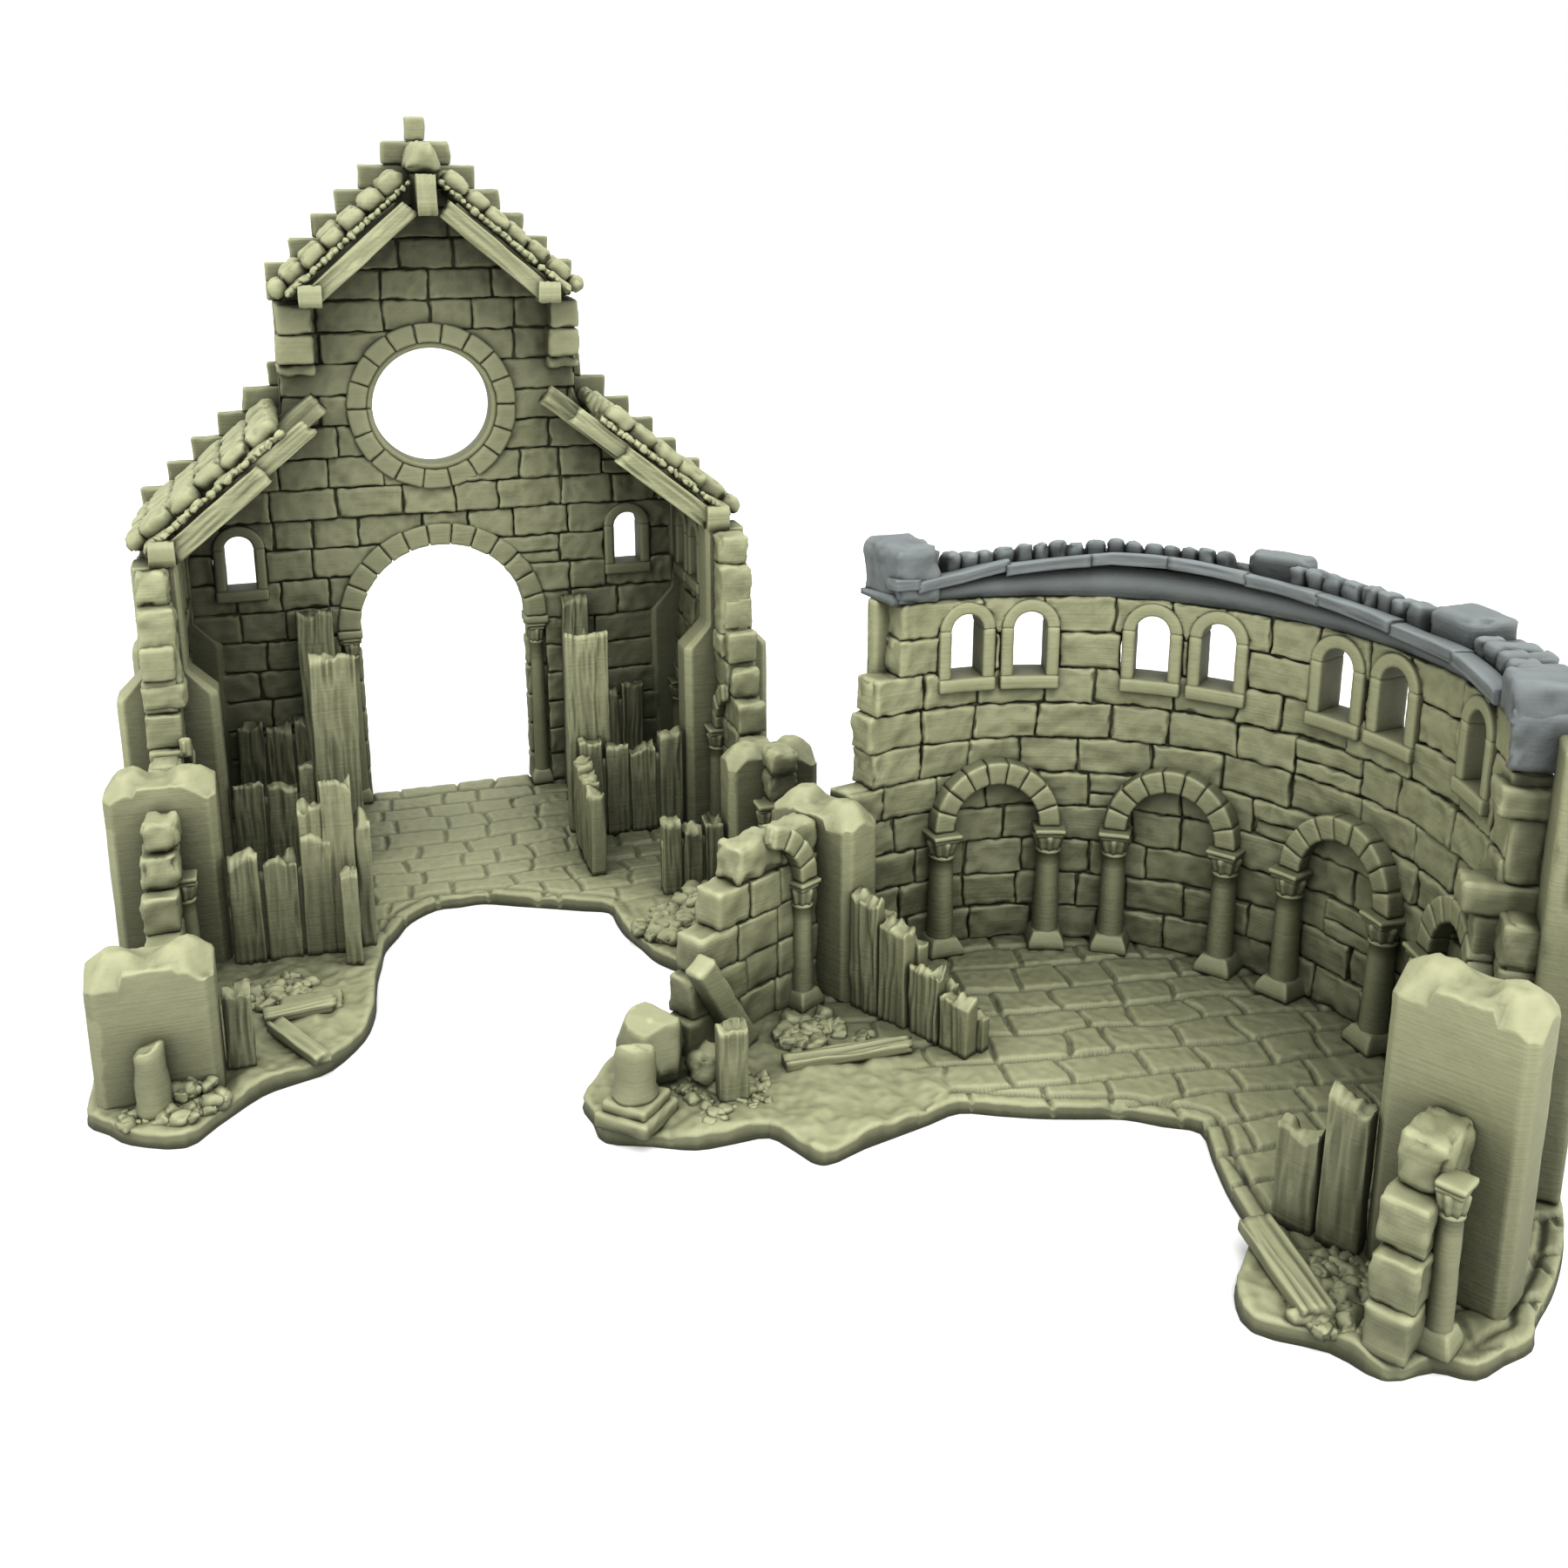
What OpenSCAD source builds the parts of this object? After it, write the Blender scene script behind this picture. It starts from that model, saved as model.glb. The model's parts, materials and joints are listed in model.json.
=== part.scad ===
// Ruined miniature church in two free-standing pieces: the end of a nave
// and the round apse. Lengths are in millimetres, +Z is up and Z = 0 is the table.
// The origin lies under the portal, on the inner face of the front wall:
// +X runs along the front wall and +Y points out through the portal.

/* [Masonry] */
// Height of one course of blocks
course_h = 6.2; // [6.1:0.05:6.25]
// Thickness of the walls
wall_t = 5.5; // [5:0.1:6]
// Thickness of the floor plates
floor_t = 2.2; // [2:0.1:2.6]

/* [Nave] */
// Width of the portal opening
portal_w = 34; // [31:0.5:35]
// Distance from the middle line to the inner face of a side wall
aisle_x = 50; // [50:0.1:51]
// Distance from one pier to the next
bay = 32.8; // [32:0.1:34]
// Length of a pier along its wall
pier_l = 8; // [7:0.1:8.5]
// Inner radius of the rose window
rose_r = 11.7; // [10:0.1:12.5]

/* [Apse] */
// Radius of the inner face of the round wall
apse_r = 52; // [52:0.5:53]
// Middle of the round wall, measured along X
apse_x = 73.5; // [73:0.5:76]
// Middle of the round wall, measured along Y
apse_y = -149; // [-152:0.5:-149]
// Turn of the apse away from the direction of the front wall
apse_turn = 29; // [28:0.5:30]

/* [Hidden] */
$fn = 64;

stone = [0.56, 0.57, 0.43];
roof_grey = [0.50, 0.55, 0.57];

// Heights
floor_z = floor_t;
storey_h = 10 * course_h;
upper_z = floor_z + storey_h;
gable_z = upper_z + 7 * course_h;

// Piers: a narrow shaft above the chamfer, a wide foot below it
pier_in = aisle_x - 6.2;
pier_out = aisle_x + wall_t + 5.5;
chamfer = 4.7;
chamfer_z = floor_z + 37.6;

// Portal and windows
arch_t = 4.4;
spring_z = floor_z + 38.2;
capital_h = 5;
window_w = 5;
window_sill = floor_z + 49.8;
window_h = 9.4;
frame_w = 9.9;
frame_low = 2.2;
frame_proud = 0.8;
front_window_x = 39.3;

// Upper storey: the stepped parapet stands behind the sloped roofs
leaf_y = -0.6;
parapet_y = 2.9;
out_y = wall_t;
aisle_steps = 6;
aisle_step_w = 5.06;
aisle_step_h = 4.73;
clerestory_x = 31.1;
gable_steps = 6;
gable_step_w = 4.67;
gable_step_h = 4.6;
gable_top_w = 1.9;
gable_top_z = floor_z + 140.4;
roof_angle = 39;
eave_x = 57;
gable_angle = 41;
gable_eave_x = 29;
eave_drop = 0.9;
rafter_t = 4.6;
batten_t = 1.2;
tile_t = 2.2;
ring_t = 5;

// Apse
wall_from = -60;
wall_to = 78;
bay_1 = 17.4;
bay_2 = 51.8;
pair = 6.05;
niche_cols = 11;
niche_r = 7.9;
niche_spring = floor_z + 22;
roof_in = 50.2;
roof_out = 62;
ring_in = apse_r - 0.6;
seat = 0.05;
plank_t = 2.3;

// A repeatable spread of values between -1 and 1, for broken edges
function jag(i) = sin(i * 137.5 + 40) * cos(i * 71 + 15);

module upright(y, length) {
    translate([0, y + length, 0]) rotate([90, 0, 0]) linear_extrude(length) children();
}

module sideways(x, length) {
    translate([x, 0, 0]) rotate([90, 0, 90]) linear_extrude(length) children();
}

module in_apse() {
    translate([apse_x, apse_y, 0]) rotate([0, 0, apse_turn]) children();
}

// ---------- shared shapes ----------

module arch_shape(width, low, spring) {
    translate([-width / 2, low]) square([width, spring - low]);
    translate([0, spring]) circle(d = width);
}

module window_hole() {
    arch_shape(window_w, window_sill, window_sill + window_h - window_w / 2);
}

module window_frame_shape() {
    arch_shape(frame_w, window_sill - frame_low, window_sill + window_h - window_w / 2);
}

// Elevation of a pier, drawn for the right-hand wall
module pier_shape(top) {
    polygon([[pier_in, floor_z], [pier_out, floor_z], [pier_out, min(top, chamfer_z)],
        [pier_out - chamfer, min(top, chamfer_z + chamfer)], [pier_out - chamfer, top],
        [pier_in + chamfer, top], [pier_in + chamfer, min(top, chamfer_z + chamfer)],
        [pier_in, min(top, chamfer_z)]]);
}

// A broken pier ends in two rounded lobes
module broken_pier_shape(top) {
    lobe = (pier_out - pier_in) / 4;
    translate([pier_in, floor_z]) square([4 * lobe, top - lobe - floor_z]);
    for (x = [pier_in + lobe, pier_in + 3 * lobe]) translate([x, top - lobe]) circle(lobe);
}

function pier_y(i) = -0.6 - (i - 1) * bay;

module pier(side, i) {
    mirror([side < 0 ? 1 : 0, 0, 0]) upright(pier_y(i), pier_l) pier_shape(upper_z);
}

module broken_pier(side, y, top) {
    mirror([side < 0 ? 1 : 0, 0, 0]) upright(y, pier_l) broken_pier_shape(top);
}

// Stepped end of a broken wall: one rectangle for each course
module broken_courses(start, reach) {
    for (i = [0 : len(reach) - 1])
        translate([start - reach[i], floor_z + i * course_h]) square([reach[i], course_h]);
}

// A board screen: upright boards side by side along X, each with its own height
module boards(x, y, widths, tops, thick) {
    for (i = [0 : len(widths) - 1])
        translate([x + (i == 0 ? 0 : sum(widths, i - 1)), y, floor_z])
            cube([widths[i] - 0.3, thick, tops[i]]);
}

function sum(list, last) = last < 0 ? 0 : list[last] + sum(list, last - 1);

module half_column(radius, height) {
    cylinder(r = radius, h = height);
    translate([-1.5 * radius, -1.5 * radius, 0]) cube([3 * radius, 3 * radius, 2]);
}

// ---------- nave, lower storey ----------

module nave_base() {
    color(stone) linear_extrude(floor_t) polygon([[-62.5, 8.5], [-22, 8.5], [-21, wall_t],
        [21, wall_t], [22, 8.5], [62.5, 8.5], [62.5, -72], [60, -82], [52, -87], [40, -87],
        [31, -91], [26, -85], [22.5, -73], [21.5, -63], [12, -58], [0, -52], [-9, -52],
        [-14, -56], [-19, -66], [-21, -77], [-22, -88], [-24, -95], [-29, -102], [-39, -106],
        [-45, -112], [-49, -116], [-56, -113], [-62.5, -106]]);
}

module front_wall() {
    color(stone) difference() {
        upright(0, wall_t) difference() {
            translate([-aisle_x, floor_z]) square([2 * aisle_x, storey_h]);
            arch_shape(portal_w + 2 * arch_t, floor_z - 1, spring_z);
            for (s = [-1, 1]) translate([s * front_window_x, 0]) window_frame_shape();
        }
        for (s = [0, 1]) mirror([s, 0, 0]) upright(-1, wall_t + 2) pier_shape(upper_z + 1);
    }
}

module portal_arch() {
    color(stone) upright(-frame_proud, wall_t + frame_proud) difference() {
        translate([0, spring_z]) circle(d = portal_w + 2 * arch_t);
        translate([0, spring_z]) circle(d = portal_w);
        translate([-portal_w, spring_z - portal_w]) square([2 * portal_w, portal_w]);
    }
}

module portal_column(side) {
    shaft_h = spring_z - floor_z - capital_h;
    color(stone) mirror([side < 0 ? 1 : 0, 0, 0]) {
        translate([portal_w / 2, 1.5, floor_z]) cube([arch_t, wall_t - 1.5, spring_z - floor_z]);
        translate([portal_w / 2 + 2.2, 0.4, floor_z]) cylinder(r = 1.7, h = shaft_h);
        translate([portal_w / 2 - 0.2, -1.3, floor_z]) cube([4.6, 2.8, 2]);
        translate([portal_w / 2, -1.3, floor_z + shaft_h]) cube([arch_t, 2.8, capital_h]);
    }
}

module front_window_frame(side) {
    color(stone) translate([side * front_window_x, 0, 0])
        upright(-frame_proud, wall_t + frame_proud) difference() {
            window_frame_shape();
            window_hole();
        }
}

// The wall of the first bay keeps its pair of windows
module bay_wall(side) {
    y_low = pier_y(2) + pier_l;
    y_high = pier_y(1);
    middle = (y_low + y_high) / 2;
    x = side > 0 ? aisle_x : -aisle_x - wall_t;
    color(stone) sideways(x, wall_t) difference() {
        translate([y_low, floor_z]) square([y_high - y_low, storey_h]);
        for (s = [-1, 1]) translate([middle + s * 5.6, 0]) window_hole();
    }
}

// Broken walls: how far each course still reaches from the pier
module broken_wall(side, y, reach) {
    x = side > 0 ? aisle_x : -aisle_x - wall_t;
    color(stone) sideways(x, wall_t) broken_courses(y, reach);
}

module screen_left_1() {
    color(stone) boards(-43, -4.4, [6, 6, 5.5, 8.5], [24, 22.5, 27, 44], 3);
}

module screen_left_2() {
    color(stone) boards(-43.4, pier_y(2) + 0.5, [6, 6, 4.5, 9], [19.5, 18.5, 22, 43], 3);
}

module screen_left_3() {
    color(stone) {
        boards(-43.4, pier_y(3) - 1.5, [5.5, 6, 5.5], [19.5, 18.5, 22], 3);
        translate([-26, pier_y(3) - 1.5, floor_z]) cube([6, 3, 31]);
        translate([-25.5, pier_y(3) - 9, floor_z]) cube([3, 6, 17]);
    }
}

module screen_right_1() {
    color(stone) {
        translate([23.5, -4.4, floor_z]) cube([6, 3, 43]);
        translate([31, -4.4, floor_z]) cube([5, 3, 21]);
        translate([36.3, -4.4, floor_z]) cube([5, 3, 23]);
    }
}

module screen_right_2() {
    color(stone) {
        boards(22, pier_y(2) + 0.5, [9.5, 6, 5.5], [20, 18, 20.5], 3);
        translate([20, pier_y(2) + 3.6, floor_z]) cube([9, 3, 42]);
        translate([20.5, pier_y(2) - 18, floor_z]) cube([2.8, 18.4, 18]);
    }
}

module screen_right_3() {
    color(stone) boards(31.4, pier_y(3) + 2, [6, 6], [14.5, 14], 3.4);
}

module nave_stump() {
    color(stone) {
        translate([-53, -109.6, floor_z]) cylinder(r = 2.3, h = 11);
        translate([-43.6, -101.5, floor_z]) cube([4.2, 3, 13.5]);
    }
}

module nave_fallen_planks() {
    color(stone) {
        translate([-38.5, -90.4, floor_z]) rotate([0, 0, 6]) cube([10.5, 3.4, 2]);
        translate([-37.8, -92.2, floor_z]) rotate([0, 0, -62]) cube([17, 3, 1.4]);
    }
}

// Rubble: short drums of different sizes scattered by a rule
module heap(x, y, spread, count, seed) {
    for (i = [1 : count])
        translate([x + spread * jag(i + seed), y + spread * jag(i * 3 + seed) * 0.7, floor_z])
            cylinder(r = 2 + abs(jag(i * 5 + seed)), h = 1.4 + 1.6 * abs(jag(i * 7 + seed)), $fn = 7);
}

module nave_rubble_left() {
    color(stone) {
        heap(-33, -80, 8, 7, 1);
        translate([-48.4, -110.2, floor_z]) cylinder(r = 2.2, h = 5, $fn = 7);
        translate([-57.6, -109.6, floor_z]) cylinder(r = 2, h = 3, $fn = 7);
    }
}

module nave_rubble_right() {
    color(stone) heap(37, -76, 9, 9, 4);
}

// ---------- nave, upper storey ----------

function aisle_z(j) = floor_z + 93.4 - j * aisle_step_h;
function aisle_w(j) = clerestory_x + j * aisle_step_w;

// Outer line of the stepped parapet on one side, from the eave to the clerestory
function aisle_line() = [for (j = [aisle_steps - 1 : -1 : 0]) each
    [[aisle_w(j), j == aisle_steps - 1 ? upper_z : aisle_z(j + 1)], [aisle_w(j), aisle_z(j)]]];

function mirrored(points) = [for (i = [len(points) - 1 : -1 : 0]) [-points[i][0], points[i][1]]];

// Top of the inner leaf, which carries the rafters' upper side
function roof_line(x) = upper_z - eave_drop + (eave_x - x) * tan(roof_angle);
function gable_line(x) = gable_z - eave_drop + (gable_eave_x - x) * tan(gable_angle);

module upper_wall() {
    right = concat(aisle_line(), [[clerestory_x - 2, aisle_z(0)], [clerestory_x - 2, gable_z]]);
    leaf = [[eave_x - eave_drop / tan(roof_angle), upper_z],
        [clerestory_x - 2, roof_line(clerestory_x - 2)], [clerestory_x - 2, gable_z]];
    color(stone) difference() {
        union() {
            upright(parapet_y, out_y - parapet_y) polygon(concat(right, mirrored(right)));
            upright(leaf_y, parapet_y - leaf_y) polygon(concat(leaf, mirrored(leaf)));
        }
        translate([0, -5, floor_z + 84]) rotate([-90, 0, 0]) cylinder(r = rose_r + ring_t, h = 20);
    }
}

module rose_ring() {
    color(stone) translate([0, leaf_y - 1, floor_z + 84]) rotate([-90, 0, 0]) difference() {
        cylinder(r = rose_r + ring_t, h = out_y - leaf_y + 1);
        translate([0, 0, -1]) cylinder(r = rose_r, h = out_y - leaf_y + 3);
    }
}

// Remains of the clerestory walls at both sides of the rose window
module quoin(side) {
    w = side < 0 ? 7 : 6;
    color(stone) mirror([side < 0 ? 1 : 0, 0, 0]) {
        translate([clerestory_x - 2 - w, leaf_y - 7.5, gable_z - 11.5]) cube([w, 7.5, 11.5]);
        translate([clerestory_x - 2 - w, leaf_y - 5, gable_z - 14]) cube([w, 5, 2.5]);
    }
}

// Things on a roof slope: X runs up the slope from the eave, Z stands off the slope
module on_slope(x, z, angle) {
    translate([x, 0, z - eave_drop]) mirror([1, 0, 0]) rotate([0, -angle, 0]) children();
}

module aisle_rafters(side) {
    length = (eave_x - 23) / cos(roof_angle);
    color(stone) mirror([side < 0 ? 1 : 0, 0, 0]) {
        on_slope(eave_x, upper_z, roof_angle) {
            translate([7.6, pier_y(2) + 1, -rafter_t]) cube([length - 10, 5, rafter_t]);
            translate([7.6, -9, -rafter_t]) cube([length - 8, 5, rafter_t]);
            for (i = [0 : 3]) translate([5 + i * 8, pier_y(2) + 1 + i, 0])
                cube([5, parapet_y - pier_y(2) - 1 - i, batten_t]);
        }
        translate([48.5, pier_y(2) - 1, upper_z]) cube([4.6, 7.5, 4.5]);
    }
}

module aisle_tiles(side) {
    color(stone) mirror([side < 0 ? 1 : 0, 0, 0]) on_slope(eave_x, upper_z, roof_angle)
        for (i = [0 : 5]) translate([i * 6, pier_y(2) + 4 + 2 * jag(i), batten_t])
            cube([6, parapet_y - pier_y(2) - 4 - 2 * jag(i), tile_t - 0.3 * (i % 2)]);
}

// ---------- gable ----------

function gable_w(k) = gable_top_w + k * gable_step_w;
function gable_step_z(k) = gable_top_z - k * gable_step_h;
function gable_edge() = [for (k = [gable_steps : -1 : 0]) each
    [[gable_w(k), k == gable_steps ? gable_z : gable_step_z(k + 1)],
     [gable_w(k), gable_step_z(k)]]];

module gable_wall() {
    right = gable_edge();
    foot = gable_eave_x - eave_drop / tan(gable_angle);
    color(stone) {
        upright(parapet_y, out_y - parapet_y) polygon(concat(right, mirrored(right)));
        upright(leaf_y, parapet_y - leaf_y)
            polygon([[foot, gable_z], [0, gable_line(0)], [-foot, gable_z]]);
    }
}

module king_post() {
    color(stone) translate([-1.9, -17.6, floor_z + 122]) cube([3.8, 17.6 + leaf_y, 7.5]);
}

module gable_rafters(side) {
    length = gable_eave_x / cos(gable_angle);
    color(stone) mirror([side < 0 ? 1 : 0, 0, 0]) {
        on_slope(gable_eave_x, gable_z, gable_angle) {
            translate([7, -15.4, -rafter_t]) cube([length - 14.5, 4.4, rafter_t]);
            for (i = [0 : 3]) translate([4 + i * 8, -15 + i, 0])
                cube([5, parapet_y + 15 - i, batten_t]);
        }
        translate([20, -17, gable_z]) cube([4.4, 7, 4]);
    }
}

module gable_tiles(side) {
    color(stone) mirror([side < 0 ? 1 : 0, 0, 0]) on_slope(gable_eave_x, gable_z, gable_angle)
        for (i = [0 : 6]) translate([i * 5, -13 + 1.6 * jag(i + 2), batten_t])
            cube([5, parapet_y + 13 - 1.6 * jag(i + 2), tile_t - 0.3 * (i % 2)]);
}

// ---------- apse, lower storey ----------

module apse_base() {
    outer = apse_r + wall_t + 6;
    color(stone) in_apse() linear_extrude(floor_t) polygon(concat(
        [for (a = [-90 : 6 : 90]) [outer * cos(a), outer * sin(a)]],
        [[-12, 62.5], [-24, 61.5], [-38, 60], [-47, 55], [-50.8, 46], [-43, 35.5], [-34, 30],
         [-33.5, 20], [-27, 18.5], [-11, 14], [-4, 4.5], [4, -4.5], [8.5, -14.5], [-1.4, -24],
         [-7.5, -31], [-19, -34.6], [-23, -39], [-20, -47], [-20, -53.5], [-15, -57],
         [-13, -61], [-4, -64.5]]));
}

module ring_part(r_in, r_out, z, height, from, to) {
    translate([0, 0, z]) rotate([0, 0, from]) rotate_extrude(angle = to - from, $fn = 96)
        translate([r_in, 0]) square([r_out - r_in, height]);
}

// Seven windows are left: the wall breaks off before the eighth
window_turns = [-bay_2 + pair, -bay_1 - pair, -bay_1 + pair, bay_1 - pair, bay_1 + pair,
    bay_2 - pair, bay_2 + pair];

// Takes the wall away above a course, between two turns
module broken_off(courses, from, to) {
    ring_part(apse_r - 1, apse_r + wall_t + 1, floor_z + courses * course_h, storey_h, from, to);
}

module apse_wall() {
    color(stone) in_apse() difference() {
        ring_part(apse_r, apse_r + wall_t, floor_z, storey_h, -86, 83);
        broken_off(4, -90, wall_from - 7);
        broken_off(6, wall_from - 7.5, wall_from);
        broken_off(5, wall_to, 90);
        for (a = window_turns) rotate([0, 0, a]) sideways(apse_r - 5, 20) window_hole();
    }
}

// Blind arches on half columns, standing proud of the wall
module apse_niches() {
    color(stone) in_apse() for (b = [-bay_2, -bay_1, bay_1, bay_2]) {
        intersection() {
            rotate([0, 0, b]) sideways(apse_r - 3.2, 5) difference() {
                translate([0, niche_spring]) circle(niche_r + 3.8, $fn = 12);
                translate([0, niche_spring]) circle(niche_r, $fn = 12);
                translate([-20, niche_spring - 20]) square([40, 20]);
            }
            cylinder(r = apse_r, h = storey_h);
        }
        for (s = [-niche_cols, niche_cols]) rotate([0, 0, b + s]) {
            translate([apse_r - 2, 0, floor_z + 2]) cylinder(r = 1.9, h = niche_spring - floor_z - 4);
            translate([apse_r - 4.6, -3, floor_z]) cube([4.4, 6, 2]);
            translate([apse_r - 4.3, -2.6, niche_spring - 4]) cube([4.1, 5.2, 4]);
        }
    }
}

module apse_buttresses() {
    out = apse_r + wall_t;
    color(stone) in_apse() difference() {
        for (b = [-65, -34.6, 0, 34.6, 69.2]) rotate([0, 0, b]) upright(-pier_l / 2, pier_l)
            polygon([[out - 1, floor_z], [out + 5.2, floor_z], [out + 5.2, chamfer_z],
                [out + 1.4, chamfer_z + chamfer], [out + 1.4, upper_z], [out - 1, upper_z]]);
        cylinder(r = out, h = upper_z + 5, $fn = 96);
    }
}

module apse_pier_left() {
    color(stone) in_apse() rotate([0, 0, 90]) mirror([0, 1, 0])
        upright(-2, pier_l) broken_pier_shape(floor_z + 33);
}

module apse_pier_right() {
    color(stone) in_apse() rotate([0, 0, -90])
        upright(-5, pier_l) broken_pier_shape(floor_z + 41);
}

module apse_fragment_left() {
    color(stone) in_apse() {
        upright(aisle_x, wall_t) broken_courses(-2, [29, 28, 26, 22, 18]);
        translate([-6.5, aisle_x - 1.6, floor_z]) cylinder(r = 1.9, h = 18);
        translate([-8.8, aisle_x - 3.4, floor_z + 18]) cube([4.6, 3.4, 4]);
        translate([-23, aisle_x - 4.5, floor_z]) rotate([0, -28, 0]) cube([3.6, 3.6, 17]);
    }
}

module apse_fragment_right() {
    color(stone) in_apse() {
        upright(-aisle_x - wall_t, wall_t) broken_courses(-5, [15, 14, 12, 9]);
        translate([-13.5, -aisle_x - wall_t - 1.6, floor_z]) cylinder(r = 1.9, h = 18);
        translate([-15.8, -aisle_x - wall_t - 3.4, floor_z + 18]) cube([4.6, 3.4, 4]);
    }
}

module apse_screen_left() {
    tops = [20.5, 17.5, 12.5, 9.5];
    color(stone) in_apse() for (i = [0 : 3]) {
        translate([-2, pier_in - 6.1 * (i + 1), floor_z]) cube([2.4, 5.8, tops[i]]);
        translate([0.7, pier_in - 6.1 * (i + 1) - 0.6, floor_z]) cube([2.2, 5.8, tops[i] - 3]);
    }
}

module apse_screen_right() {
    color(stone) in_apse() for (i = [0 : 1])
        translate([-5.5, -pier_in + 0.2 + 6.1 * i, floor_z]) cube([2.6, 5.8, 21.5 - 7 * i]);
}

module apse_stump() {
    color(stone) in_apse() {
        translate([-46, 44.5, floor_z]) rotate([0, 0, 16]) {
            translate([-4.5, -4.5, 0]) cube([9, 9, 2.4]);
            translate([-3.7, -3.7, 2.4]) cube([7.4, 7.4, 1.4]);
            translate([0, 0, 3.8]) cylinder(r = 3.2, h = 8);
        }
        translate([-36, 38, floor_z]) rotate([0, 0, -30]) cube([4.6, 2.6, 12.5]);
        translate([-23.5, 36.5, floor_z]) rotate([0, 0, -31]) cube([20.5, 3.2, 1.8]);
        translate([-12, -31.5, floor_z]) rotate([0, 0, -127]) cube([19, 4.2, 2.2]);
    }
}

module apse_rubble() {
    color(stone) in_apse() {
        translate([-36.9, 51.2, floor_z]) cylinder(r = 5.4, h = 13, $fn = 9);
        translate([-32.6, 44.5, floor_z]) cylinder(r = 3.4, h = 8, $fn = 8);
        translate([-12, 42, floor_z]) cylinder(r = 5, h = 4, $fn = 9);
        translate([-18, 43.5, floor_z]) cylinder(r = 3, h = 2.6, $fn = 7);
        translate([-7.5, 35, floor_z]) cylinder(r = 2.6, h = 2, $fn = 7);
        translate([-12, -46, floor_z]) cylinder(r = 2.6, h = 3, $fn = 8);
    }
}

// ---------- apse roof ----------

// The roof ring rises towards its middle: from, to and height of each stretch
stretches = [[-58, -38, 1], [-38, -20, 1.8], [-20, -3, 3.4], [-3, 8, 4.6], [8, 19, 5.2],
    [19, 44, 5.8], [44, 57, 4.2], [57, 62, 2.8], [62, 76, 2]];
// Blocks that interrupt the tiles: turn, width, inner end and height
block_list = [[-58, 8, 50, 6.5], [-30.8, 9, 53.6, 7.4], [4.5, 9, 57.4, 8.5], [68, 12, 50.4, 9.4]];

function ring_edge(h) = 0.6 + 0.2 * h;
function ring_top(r, h) = h + (ring_edge(h) - h) * (r - ring_in) / (roof_out - ring_in);

module turned_profile(from, to) {
    translate([0, 0, upper_z + seat]) rotate([0, 0, from])
        rotate_extrude(angle = to - from, $fn = 96) children();
}

module beside_blocks() {
    difference() {
        children();
        for (k = block_list) rotate([0, 0, k[0]]) translate([k[2] - 0.1, -k[1] / 2, upper_z - 1])
            cube([20, k[1], 20]);
    }
}

// A flat band carries the sloped stretches
module roof_ring() {
    color(roof_grey) in_apse() beside_blocks() {
        turned_profile(stretches[0][0], 76) translate([ring_in + 0.3, 0])
            square([roof_out - ring_in - 0.6, 0.5]);
        for (k = stretches) turned_profile(k[0] + 0.2, k[1])
            polygon([[ring_in, 0], [roof_out, 0], [roof_out, ring_edge(k[2])], [ring_in, k[2]]]);
    }
}

// Two courses of tiles that fall outwards, the outer course a little lower
module roof_tiles() {
    in_r = apse_r + 1.6;
    mid_r = apse_r + 5.5;
    color(roof_grey) in_apse() beside_blocks() for (k = stretches) turned_profile(k[0] + 0.2, k[1])
        polygon([[in_r, ring_top(in_r, k[2]) + seat], [roof_out, ring_edge(k[2]) + seat],
            [roof_out + 0.8, ring_edge(k[2]) + 2.2], [mid_r, k[2] + 3.2], [mid_r, k[2] + 4.4],
            [in_r, k[2] + 5]]);
}

// Boards along the inner edge
module roof_planks() {
    color(roof_grey) in_apse() beside_blocks() for (k = stretches)
        ring_part(roof_in, apse_r + 1.5, upper_z + k[2] + 2 * seat, plank_t, k[0] + 0.2, k[1]);
}

module roof_blocks() {
    color(roof_grey) in_apse() for (k = block_list) rotate([0, 0, k[0]])
        upright(-k[1] / 2, k[1]) polygon([[k[2], upper_z + seat], [roof_out + 1, upper_z + seat],
            [roof_out + 1, upper_z + k[3] - 2], [roof_out - 1, upper_z + k[3]],
            [k[2] + 1, upper_z + k[3]], [k[2], upper_z + k[3] - 1]]);
}

nave_base();
front_wall();
portal_arch();
portal_column(-1);  // portal_column_left
portal_column(1);  // portal_column_right
front_window_frame(-1);  // window_frame_left
front_window_frame(1);  // window_frame_right
color(stone) pier(-1, 1);  // pier_left_1
color(stone) pier(-1, 2);  // pier_left_2
color(stone) broken_pier(-1, pier_y(3), floor_z + 35);  // pier_left_3
color(stone) broken_pier(-1, -107, floor_z + 23);  // pier_left_4
color(stone) pier(1, 1);  // pier_right_1
color(stone) pier(1, 2);  // pier_right_2
color(stone) broken_pier(1, pier_y(3), floor_z + 28);  // pier_right_3
bay_wall(-1);  // wall_left_1
broken_wall(-1, pier_y(2), [24.8, 24.8, 24.8, 22, 17, 9, 8, 9, 7, 5]);  // wall_left_2
broken_wall(-1, pier_y(3), [24, 17, 12, 9]);  // wall_left_3
bay_wall(1);  // wall_right_1
broken_wall(1, pier_y(2), [24.8, 24.8, 24.8, 21, 17, 14, 11, 8, 7, 6]);  // wall_right_2
broken_wall(1, pier_y(3), [12, 9, 7, 5]);  // wall_right_3
screen_left_1();
screen_left_2();
screen_left_3();
screen_right_1();
screen_right_2();
screen_right_3();
nave_stump();
nave_fallen_planks();
nave_rubble_left();
nave_rubble_right();
upper_wall();
rose_ring();
quoin(-1);  // quoin_left
quoin(1);  // quoin_right
aisle_rafters(-1);  // aisle_rafters_left
aisle_rafters(1);  // aisle_rafters_right
aisle_tiles(-1);  // aisle_tiles_left
aisle_tiles(1);  // aisle_tiles_right
gable_wall();
king_post();
gable_rafters(-1);  // gable_rafters_left
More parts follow.
